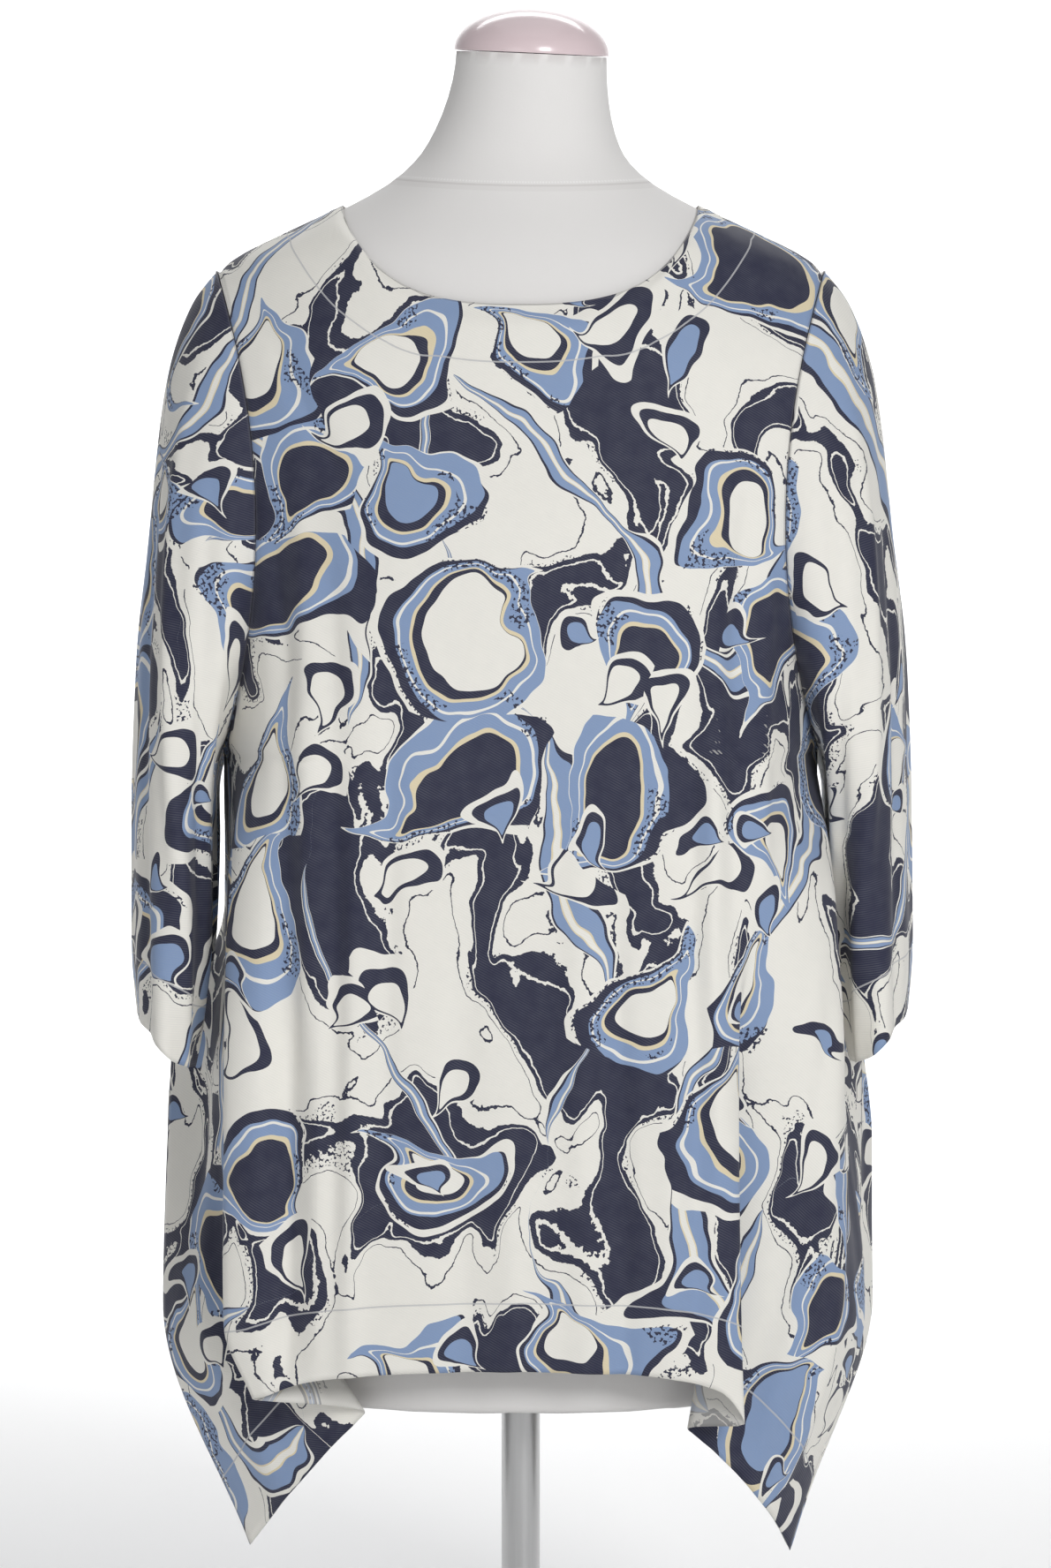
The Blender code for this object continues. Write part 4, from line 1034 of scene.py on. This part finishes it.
def print_cloth(name, twill_turn):
    """The marbled print on its twill, with the sewn lines, painted shade along the neck edge and the seams,
    and the paler wrong side.
    """
    colours = bpy.context.scene.blouse_colours
    sizes = bpy.context.scene.blouse_sizes
    cream, navy = solid(colours.cream), solid(colours.navy)
    blue, beige = solid(colours.blue), solid(colours.beige)
    recipe = Recipe(name)
    cut = recipe.add("ShaderNodeUVMap", uv_map="cut").outputs[0]
    swirl = recipe.noise(cut, 8.0, 1.0).outputs["Color"]
    swirl = recipe.scaled(recipe.vector("SUBTRACT", swirl, (0.5, 0.5, 0.5)), 0.070)
    fine_swirl = recipe.noise(cut, 34.0, 1.0).outputs["Color"]
    fine_swirl = recipe.scaled(recipe.vector("SUBTRACT", fine_swirl, (0.5, 0.5, 0.5)), 0.012)
    flow = recipe.vector("ADD", recipe.vector("ADD", cut, swirl), fine_swirl)
    tall = recipe.vector("MULTIPLY", flow, (1.0, 0.62, 1.0))

    # Cream ground with dark pools and thin dark threads
    pools = recipe.noise(tall, 16.0, 2.0, 0.45, 0.35).outputs[0]
    rough = recipe.noise(cut, 240.0, 2.0, 0.6).outputs[0]
    rough = recipe.number("MULTIPLY_ADD", rough, 0.018, -0.009)
    ragged = recipe.number("ADD", pools, rough)
    colour = recipe.over(recipe.within(ragged, 0.468, 0.0035), cream, navy)
    colour = recipe.over(recipe.more(ragged, 0.530), colour, navy)
    colour = recipe.over(recipe.within(ragged, 0.566, 0.0045), colour, cream)
    speck = recipe.more(recipe.noise(cut, 520.0, 1.0, 0.5).outputs[0], 0.60)
    dry = recipe.more(recipe.noise(cut, 15.0, 1.0).outputs[0], 0.55)
    near_pool = recipe.both(recipe.more(ragged, 0.500), recipe.less(ragged, 0.530))
    colour = recipe.over(recipe.both(recipe.both(near_pool, speck), dry), colour, navy)

    # Long ribbons
    bends = recipe.noise(recipe.vector("ADD", tall, (3.1, 7.7, 0.0)), 6.2, 0.6, 0.4, 0.3).outputs[0]
    width = recipe.noise(recipe.vector("ADD", tall, (9.3, 1.2, 0.0)), 9.0, 1.0).outputs[0]
    width = recipe.number("MULTIPLY_ADD", width, 5.0, -1.95)
    width = recipe.number("MAXIMUM", recipe.number("MINIMUM", width, 1.0), 0.001)
    offset = recipe.number("ABSOLUTE", recipe.number("SUBTRACT", bends, 0.5))
    offset = recipe.number("DIVIDE", offset, width)
    colour = recipe.over(recipe.less(offset, 0.062), colour, cream)
    colour = recipe.over(recipe.less(offset, 0.052), colour, navy)
    colour = recipe.over(recipe.less(offset, 0.043), colour, blue)
    colour = recipe.over(recipe.less(offset, 0.012), colour, beige)
    colour = recipe.over(recipe.less(offset, 0.008), colour, cream)

    # Large nested drops
    across, up, red, green, chance = drops(recipe, flow, 9.4, (0.37, 0.21, 0.0), 0.0215, 0.0150)
    radius = ring(recipe, across, up)
    crescent = ring(recipe, across, up, 0.13, 0.10)
    held = recipe.more(chance, 0.16)
    colour = recipe.over(recipe.both(held, recipe.less(radius, 1.30)), colour, cream)
    colour = recipe.over(recipe.both(held, recipe.less(radius, 1.17)), colour, navy)
    colour = recipe.over(recipe.both(held, recipe.less(crescent, 1.12)), colour, blue)
    colour = recipe.over(recipe.both(held, recipe.within(radius, 0.90, 0.022)), colour, cream)
    dots = recipe.more(recipe.noise(cut, 430.0, 1.0, 0.5).outputs[0], 0.56)
    patch = recipe.more(recipe.noise(cut, 19.0, 1.0).outputs[0], 0.56)
    dots = recipe.both(recipe.both(held, dots), recipe.both(patch, recipe.within(radius, 1.0, 0.22)))
    colour = recipe.over(dots, colour, navy)
    colour = recipe.over(recipe.both(held, recipe.less(radius, 0.72)), colour, beige)
    colour = recipe.over(recipe.both(held, recipe.less(radius, 0.66)), colour, navy)
    centre = recipe.over(recipe.more(chance, 0.74), cream, navy)
    centre = recipe.over(recipe.within(chance, 0.40, 0.06), centre, blue)
    inner = ring(recipe, across, up, 0.07, 0.06)
    colour = recipe.over(recipe.both(held, recipe.less(inner, 0.56)), colour, centre)

    # Small drops between them
    across, up, red, green, chance = drops(recipe, flow, 17.0, (1.9, 4.3, 0.0), 0.0065, 0.0085)
    radius = ring(recipe, across, up)
    held = recipe.more(chance, 0.62)
    colour = recipe.over(recipe.both(held, recipe.less(radius, 1.34)), colour, cream)
    colour = recipe.over(recipe.both(held, recipe.less(radius, 1.08)), colour, navy)
    heart = recipe.over(recipe.more(green, 0.45), blue, cream)
    middle = recipe.less(ring(recipe, across, up, 0.10, 0.06), 0.78)
    colour = recipe.over(recipe.both(held, middle), colour, heart)

    # Twill: fine slanting ribs
    parts = recipe.add("ShaderNodeSeparateXYZ", {"Vector": cut})
    slant_x = 2 * math.pi * math.cos(twill_turn) / sizes.twill_pitch
    slant_y = 2 * math.pi * math.sin(twill_turn) / sizes.twill_pitch
    slant = recipe.number("MULTIPLY_ADD", parts.outputs[0], slant_x,
                          recipe.number("MULTIPLY", parts.outputs[1], slant_y))
    ribs = recipe.number("MULTIPLY_ADD", recipe.number("SINE", slant), 0.5, 0.5)
    uneven = recipe.noise(cut, 90.0, 2.0).outputs[0]
    light_rib = recipe.both(ribs, recipe.number("MULTIPLY", uneven, 0.15))
    colour = recipe.over(light_rib, colour, (0.42, 0.44, 0.47, 1.0))

    # Sewn lines: the facing round the neck and the turned hem, then painted shade along the neck edge and
    # the seams
    thread = solid(colours.thread)
    from_neck = recipe.attribute("from_neck")
    from_hem = recipe.attribute("from_hem")
    from_seam = recipe.attribute("from_seam")
    hem_depth = SLEEVE_HEM_DEPTH if "sleeve" in name else HEM_DEPTH
    sewn = recipe.number("MAXIMUM", recipe.within(from_neck, FACING_DEPTH, 0.00055),
                         recipe.within(from_hem, hem_depth, 0.00055))
    colour = recipe.over(recipe.number("MULTIPLY", sewn, 0.75), colour, thread)
    # Painted shade: a thin darker line along the neck edge and along the seams, where shade falls between
    # the cloths
    edge = recipe.number("MAXIMUM", recipe.less(from_neck, 0.0012), recipe.less(from_seam, 0.0010))
    colour = recipe.over(recipe.number("MULTIPLY", edge, 0.35), colour, (0.10, 0.10, 0.12, 1.0))
    inside = recipe.attribute("wrong_side")
    colour = recipe.over(recipe.number("MULTIPLY", inside, 0.55), colour, solid(colours.wrong_side))
    recipe.put(recipe.shader.inputs["Base Color"], colour)

    dip = recipe.number("MAXIMUM", recipe.within(from_neck, FACING_DEPTH, 0.0014),
                        recipe.within(from_hem, hem_depth, 0.0014))
    height = recipe.number("MULTIPLY_ADD", ribs, 0.10, recipe.number("MULTIPLY", dip, -0.6))
    soft = recipe.noise(recipe.vector("MULTIPLY", cut, (1.0, 0.35, 1.0)), 26.0, 2.0).outputs[0]
    height = recipe.number("MULTIPLY_ADD", soft, 1.6, height)
    bump = recipe.add("ShaderNodeBump", {"Strength": 0.55, "Distance": 0.0006, "Height": height})
    recipe.put(recipe.shader.inputs["Normal"], bump.outputs[0])
    recipe.shader.inputs["Roughness"].default_value = 0.72
    recipe.shader.inputs["Specular IOR Level"].default_value = 0.35
    recipe.shader.inputs["Sheen Weight"].default_value = 0.12
    recipe.shader.inputs["Sheen Roughness"].default_value = 0.5
    return recipe.material


def form_cloth():
    """Stretched plain cloth, with the sewn ring at the base of the neck."""
    recipe = Recipe("form_cloth")
    colour = solid(bpy.context.scene.form_colours.cloth)
    place = recipe.add("ShaderNodeTexCoord").outputs["Object"]
    weave = recipe.noise(place, 900.0, 2.0)
    weave.noise_dimensions = "3D"
    broad = recipe.noise(place, 7.0, 2.0)
    broad.noise_dimensions = "3D"
    shade = recipe.number("MULTIPLY_ADD", weave.outputs[0], 0.05, -0.025)
    shade = recipe.number("MULTIPLY_ADD", broad.outputs[0], 0.05, shade)
    mixed = recipe.over(shade, colour, (0.55, 0.50, 0.48, 1.0))
    parts = recipe.add("ShaderNodeSeparateXYZ", {"Vector": place})
    across, deep, high = parts.outputs
    slope = recipe.number("MULTIPLY_ADD", across, 0.012, high)
    sag = recipe.number("MULTIPLY", recipe.number("MULTIPLY", deep, deep), -0.9)
    level = recipe.number("SUBTRACT", slope, sag)
    seam = recipe.within(level, NECK_SEAM, 0.0006)
    around = recipe.number("ARCTAN2", across, deep)
    stitches = recipe.more(recipe.number("SINE", recipe.number("MULTIPLY", around, 190.0)), -0.3)
    beside = recipe.both(recipe.within(level, NECK_SEAM + 0.0020, 0.0005), stitches)
    line = recipe.number("MAXIMUM", seam, beside)
    shadow = recipe.both(recipe.less(level, NECK_SEAM), recipe.more(level, NECK_SEAM - 0.0035))
    mixed = recipe.over(recipe.number("MULTIPLY", shadow, 0.10), mixed, (0.45, 0.41, 0.40, 1.0))
    mixed = recipe.over(recipe.number("MULTIPLY", seam, 0.22), mixed, (0.35, 0.32, 0.31, 1.0))
    mixed = recipe.over(recipe.number("MULTIPLY", beside, 0.55), mixed, (0.95, 0.94, 0.93, 1.0))
    recipe.put(recipe.shader.inputs["Base Color"], mixed)
    height = recipe.number("MULTIPLY_ADD", weave.outputs[0], 0.3, recipe.number("MULTIPLY", line, -1.0))
    bump = recipe.add("ShaderNodeBump", {"Strength": 0.4, "Distance": 0.0004, "Height": height})
    recipe.put(recipe.shader.inputs["Normal"], bump.outputs[0])
    recipe.shader.inputs["Roughness"].default_value = 0.85
    recipe.shader.inputs["Sheen Weight"].default_value = 0.10
    return recipe.material


def cap_gloss():
    recipe = Recipe("cap_gloss")
    colour = solid(bpy.context.scene.form_colours.cap)
    place = recipe.add("ShaderNodeTexCoord").outputs["Object"]
    cloud = recipe.noise(place, 24.0, 2.0)
    cloud.noise_dimensions = "3D"
    mixed = recipe.over(recipe.number("MULTIPLY", cloud.outputs[0], 0.10), colour, (0.60, 0.44, 0.46, 1.0))
    recipe.put(recipe.shader.inputs["Base Color"], mixed)
    recipe.shader.inputs["Roughness"].default_value = 0.24
    recipe.shader.inputs["Coat Weight"].default_value = 0.35
    recipe.shader.inputs["Coat Roughness"].default_value = 0.06
    return recipe.material


def brushed_metal():
    recipe = Recipe("brushed_metal")
    colour = solid(bpy.context.scene.form_colours.metal)
    place = recipe.add("ShaderNodeTexCoord").outputs["Object"]
    drawn = recipe.vector("MULTIPLY", place, (1.0, 1.0, 0.04))
    grain = recipe.noise(drawn, 700.0, 3.0, 0.6)
    grain.noise_dimensions = "3D"
    mixed = recipe.over(recipe.number("MULTIPLY", grain.outputs[0], 0.25), colour, (0.40, 0.40, 0.40, 1.0))
    recipe.put(recipe.shader.inputs["Base Color"], mixed)
    rough = recipe.number("MULTIPLY_ADD", grain.outputs[0], 0.18, 0.24)
    recipe.put(recipe.shader.inputs["Roughness"], rough)
    bump = recipe.add("ShaderNodeBump", {"Strength": 0.15, "Distance": 0.0002, "Height": grain.outputs[0]})
    recipe.put(recipe.shader.inputs["Normal"], bump.outputs[0])
    recipe.shader.inputs["Metallic"].default_value = 1.0
    return recipe.material


def backdrop_paper():
    recipe = Recipe("backdrop_paper")
    recipe.shader.inputs["Base Color"].default_value = (0.93, 0.93, 0.93, 1.0)
    recipe.shader.inputs["Roughness"].default_value = 0.95
    return recipe.material


def alone(piece):
    """Makes a piece the only one that the next operators act on."""
    bpy.ops.object.select_all(action="DESELECT")
    piece.select_set(True)
    bpy.context.view_layer.objects.active = piece


def smooth_copy(node, name, rounds):
    """A copy of a solid with its loose faces joined, rounded off and shaded smooth."""
    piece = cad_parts[node].copy()
    piece.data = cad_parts[node].data.copy()
    piece.name = name
    piece.data.name = name
    piece.parent = None
    bpy.context.scene.collection.objects.link(piece)
    alone(piece)
    bpy.ops.object.mode_set(mode="EDIT")
    bpy.ops.mesh.select_all(action="SELECT")
    bpy.ops.mesh.remove_doubles(threshold=1e-5)
    bpy.ops.mesh.tris_convert_to_quads(face_threshold=math.radians(30), shape_threshold=math.radians(40))
    bpy.ops.mesh.select_all(action="DESELECT")
    bpy.ops.mesh.select_mode(type="EDGE")
    bpy.ops.mesh.edges_select_sharp(sharpness=SHARP_EDGE)
    bpy.ops.transform.edge_crease(value=1.0)
    bpy.ops.object.mode_set(mode="OBJECT")
    if rounds:
        bpy.ops.object.modifier_add(type="SUBSURF")
        modifier = piece.modifiers[-1]
        modifier.levels = rounds
        modifier.render_levels = rounds
        bpy.ops.object.modifier_apply(modifier=modifier.name)
    bpy.ops.object.shade_smooth_by_angle(angle=SHARP_EDGE)
    piece.data.materials.clear()
    return piece


def cap_dome():
    """The neck's cap: half of a flattened ball, with a fine rim instead of the solid's wide round one."""
    foot = CAP_FOOT[2] - CAP_FOOT[0] * math.tan(CAP_TILT)
    bpy.ops.mesh.primitive_uv_sphere_add(segments=96, ring_count=48, radius=1.0)
    piece = bpy.context.object
    piece.name = "cap_dome"
    piece.data.name = "cap_dome"
    piece.scale = (CAP_RADIUS, CAP_RADIUS, CAP_HEIGHT)
    piece.rotation_euler = (0.0, CAP_TILT, 0.0)
    piece.location = (CAP_FOOT[0], CAP_FOOT[1], foot)
    bpy.ops.object.transform_apply(location=True, rotation=True, scale=True)
    bpy.ops.object.mode_set(mode="EDIT")
    bpy.ops.mesh.select_all(action="SELECT")
    upward = (math.sin(CAP_TILT), 0.0, math.cos(CAP_TILT))
    bpy.ops.mesh.bisect(plane_co=(CAP_FOOT[0], CAP_FOOT[1], foot), plane_no=upward,
                        use_fill=True, clear_inner=True)
    bpy.ops.mesh.select_all(action="SELECT")
    bpy.ops.mesh.normals_make_consistent(inside=False)
    bpy.ops.object.mode_set(mode="OBJECT")
    bpy.ops.object.modifier_add(type="BEVEL")
    bevel = piece.modifiers[-1]
    bevel.width = CAP_RIM
    bevel.segments = 3
    bevel.angle_limit = math.radians(50)
    bpy.ops.object.modifier_apply(modifier=bevel.name)
    bpy.ops.object.shade_smooth_by_angle(angle=SHARP_EDGE)
    return piece


class BlouseColours(bpy.types.PropertyGroup):
    """Dyes of the blouse's print."""

    cream: FloatVectorProperty(name="Cream", description="Ground of the print", subtype="COLOR",
                               default=(0.855, 0.835, 0.775), min=0.0, max=1.0)
    navy: FloatVectorProperty(name="Navy", description="Dark pools and crescents", subtype="COLOR",
                              default=(0.018, 0.020, 0.050), min=0.0, max=1.0)
    blue: FloatVectorProperty(name="Blue", description="Bands of the drops", subtype="COLOR",
                              default=(0.235, 0.330, 0.525), min=0.0, max=1.0)
    beige: FloatVectorProperty(name="Beige", description="Thin accents", subtype="COLOR",
                               default=(0.760, 0.660, 0.450), min=0.0, max=1.0)
    thread: FloatVectorProperty(name="Thread", description="Sewing thread", subtype="COLOR",
                                default=(0.52, 0.52, 0.53), min=0.0, max=1.0)
    wrong_side: FloatVectorProperty(name="Wrong side", description="Paler inside of the cloth",
                                    subtype="COLOR", default=(0.66, 0.65, 0.62), min=0.0, max=1.0)


class BlouseSizes(bpy.types.PropertyGroup):
    """Sizes of the blouse's cloth."""

    thickness: FloatProperty(name="Thickness", description="Thickness of the cloth", unit="LENGTH",
                             default=0.0008, min=0.0003, max=0.0015)
    hem_extra: FloatProperty(name="Hem extra", description="How much thicker the turned hem is",
                             unit="LENGTH", default=0.0004, min=0.0, max=0.001)
    seam_groove: FloatProperty(name="Seam groove", description="How far the cloth dips at a seam",
                               unit="LENGTH", default=0.0007, min=0.0, max=0.0015)
    twill_pitch: FloatProperty(name="Twill pitch", description="Distance between the twill's ribs",
                               unit="LENGTH", default=0.0015, min=0.0005, max=0.004)


class FormColours(bpy.types.PropertyGroup):
    """Colours of the dress form and its stand."""

    cloth: FloatVectorProperty(name="Cover", description="Cloth of the bust", subtype="COLOR",
                               default=(0.81, 0.795, 0.78), min=0.0, max=1.0)
    cap: FloatVectorProperty(name="Cap", description="Glossy cap on the neck", subtype="COLOR",
                             default=(0.77, 0.635, 0.655), min=0.0, max=1.0)
    metal: FloatVectorProperty(name="Metal", description="Pole and base", subtype="COLOR",
                               default=(0.62, 0.62, 0.62), min=0.0, max=1.0)


class BLOUSE_OT_stage(bpy.types.Operator):
    """Sets up the pale backdrop, the soft lights and the camera"""

    bl_idname = "blouse.stage"
    bl_label = "Set the stage"

    def execute(self, context):
        bpy.ops.object.select_all(action="DESELECT")
        bpy.ops.mesh.primitive_plane_add(size=1.0, location=(0.0, 0.0, 0.0))
        paper = context.object
        paper.name = "backdrop"
        mesh = paper.data
        mesh.clear_geometry()
        run = [(-BACKDROP_SIDE, 0.0), (BACKDROP_BEND, 0.0)]
        for step in range(1, BEND_STEPS + 1):
            turn = math.pi / 2 * step / BEND_STEPS
            along = BACKDROP_BEND + BACKDROP_CURVE * math.sin(turn)
            run.append((along, BACKDROP_CURVE - BACKDROP_CURVE * math.cos(turn)))
        run.append((BACKDROP_BEND + BACKDROP_CURVE, BACKDROP_TOP))
        points = [(side, y, z) for y, z in run for side in (-BACKDROP_SIDE, BACKDROP_SIDE)]
        faces = [(2 * k, 2 * k + 1, 2 * k + 3, 2 * k + 2) for k in range(len(run) - 1)]
        mesh.from_pydata(points, [], faces)
        mesh.shade_smooth()
        mesh.materials.append(backdrop_paper())

        for name, place, target, size, power in LIGHTS:
            light = bpy.data.lights.new(name, "AREA")
            light.shape = "SQUARE"
            light.size = size
            light.energy = power
            lamp = bpy.data.objects.new(name, light)
            lamp.location = place
            aim = np.asarray(target) - np.asarray(place)
            flat = math.hypot(aim[0], aim[1])
            lamp.rotation_euler = (math.atan2(flat, -aim[2]), 0.0, math.atan2(aim[1], aim[0]) - math.pi / 2)
            context.scene.collection.objects.link(lamp)

        world = bpy.data.worlds.new("pale_room")
        world.use_nodes = True
        background = world.node_tree.nodes["Background"]
        background.inputs["Color"].default_value = (0.97, 0.98, 1.0, 1.0)
        background.inputs["Strength"].default_value = ROOM_LIGHT
        context.scene.world = world
        context.scene.view_settings.view_transform = "Standard"

        lens = bpy.data.cameras.new("picture_camera")
        lens.sensor_fit = "VERTICAL"
        lens.sensor_height = 24.0
        lens.lens = CAMERA_LENS
        lens.clip_end = 60.0
        camera = bpy.data.objects.new("picture_camera", lens)
        camera.location = CAMERA_PLACE
        camera.rotation_euler = (math.pi / 2 - math.atan2(CAMERA_DROP, -CAMERA_PLACE[1]), 0.0, 0.0)
        context.scene.collection.objects.link(camera)
        context.scene.camera = camera
        return {"FINISHED"}


class BLOUSE_OT_form(bpy.types.Operator):
    """Covers the bust, polishes its cap and finishes the pole and the base"""

    bl_idname = "blouse.form"
    bl_label = "Finish the dress form"

    def execute(self, context):
        metal = brushed_metal()
        pieces = (
            ("dress_form", "form_cover", 1, form_cloth(), "form_cloth"),
            ("neck_cap", "cap_dome", 0, cap_gloss(), "cap"),
            ("stand_pole", "pole_tube", 0, metal, "stand_metal"),
            ("stand_base", "base_plate", 0, metal, "stand_metal"),
        )
        for node, name, rounds, finish, slot in pieces:
            piece = cap_dome() if name == "cap_dome" else smooth_copy(node, name, rounds)
            piece.data.materials.append(finish)
            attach(piece, "root")
            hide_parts(node)
        return {"FINISHED"}


class BLOUSE_OT_panels(bpy.types.Operator):
    """Lays the blouse's front and back on the form"""

    bl_idname = "blouse.panels"
    bl_label = "Lay the front and the back"

    def execute(self, context):
        cloth = print_cloth("print_cloth_panels", math.radians(62.0))
        for side, shift in (("front", (0.90, 0.30)), ("back", (4.10, 2.20))):
            sheet = cut_sheets()[side]
            piece = thick_cloth(f"blouse_{side}_cloth", sheet, shift)
            piece.data.materials.append(cloth)
            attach(piece, "root")
            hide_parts(f"blouse_{side}")
            width, length, area = cut_size(sheet)
        return {"FINISHED"}


class BLOUSE_OT_sleeves(bpy.types.Operator):
    """Sets the two sleeves into their armholes"""

    bl_idname = "blouse.sleeves"
    bl_label = "Set in the sleeves"

    def execute(self, context):
        cloth = print_cloth("print_cloth_sleeves", math.radians(80.0))
        for side, shift in (("left", (7.30, 5.40)), ("right", (9.60, 8.10))):
            sheet = cut_sheets()[side]
            piece = thick_cloth(f"sleeve_{side}_cloth", sheet, shift)
            piece.data.materials.append(cloth)
            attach(piece, "root")
            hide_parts(f"sleeve_{side}")
            width, length, area = cut_size(sheet)
        return {"FINISHED"}


class BLOUSE_PT_pieces(bpy.types.Panel):
    """The blouse's pieces and their sizes and colours"""

    bl_idname = "BLOUSE_PT_pieces"
    bl_label = "Blouse"
    bl_space_type = "VIEW_3D"
    bl_region_type = "UI"
    bl_category = "Blouse"

    def draw(self, context):
        for group in (context.scene.blouse_sizes, context.scene.blouse_colours,
                      context.scene.form_colours):
            for name in group.__annotations__:
                self.layout.prop(group, name)
        for operator in OPERATORS:
            self.layout.operator(operator.bl_idname)


GROUPS = (BlouseColours, BlouseSizes, FormColours)
OPERATORS = (BLOUSE_OT_stage, BLOUSE_OT_form, BLOUSE_OT_panels, BLOUSE_OT_sleeves)


def register():
    for made in GROUPS + OPERATORS + (BLOUSE_PT_pieces,):
        bpy.utils.register_class(made)
    bpy.types.Scene.blouse_colours = PointerProperty(type=BlouseColours)
    bpy.types.Scene.blouse_sizes = PointerProperty(type=BlouseSizes)
    bpy.types.Scene.form_colours = PointerProperty(type=FormColours)


def unregister():
    del bpy.types.Scene.form_colours
    del bpy.types.Scene.blouse_sizes
    del bpy.types.Scene.blouse_colours
    for made in reversed(GROUPS + OPERATORS + (BLOUSE_PT_pieces,)):
        bpy.utils.unregister_class(made)


def main():
    register()
    bpy.ops.blouse.stage()
    bpy.ops.blouse.form()
    bpy.ops.blouse.panels()
    bpy.ops.blouse.sleeves()
    bpy.context.view_layer.update()


if __name__ == "__main__":
    main()
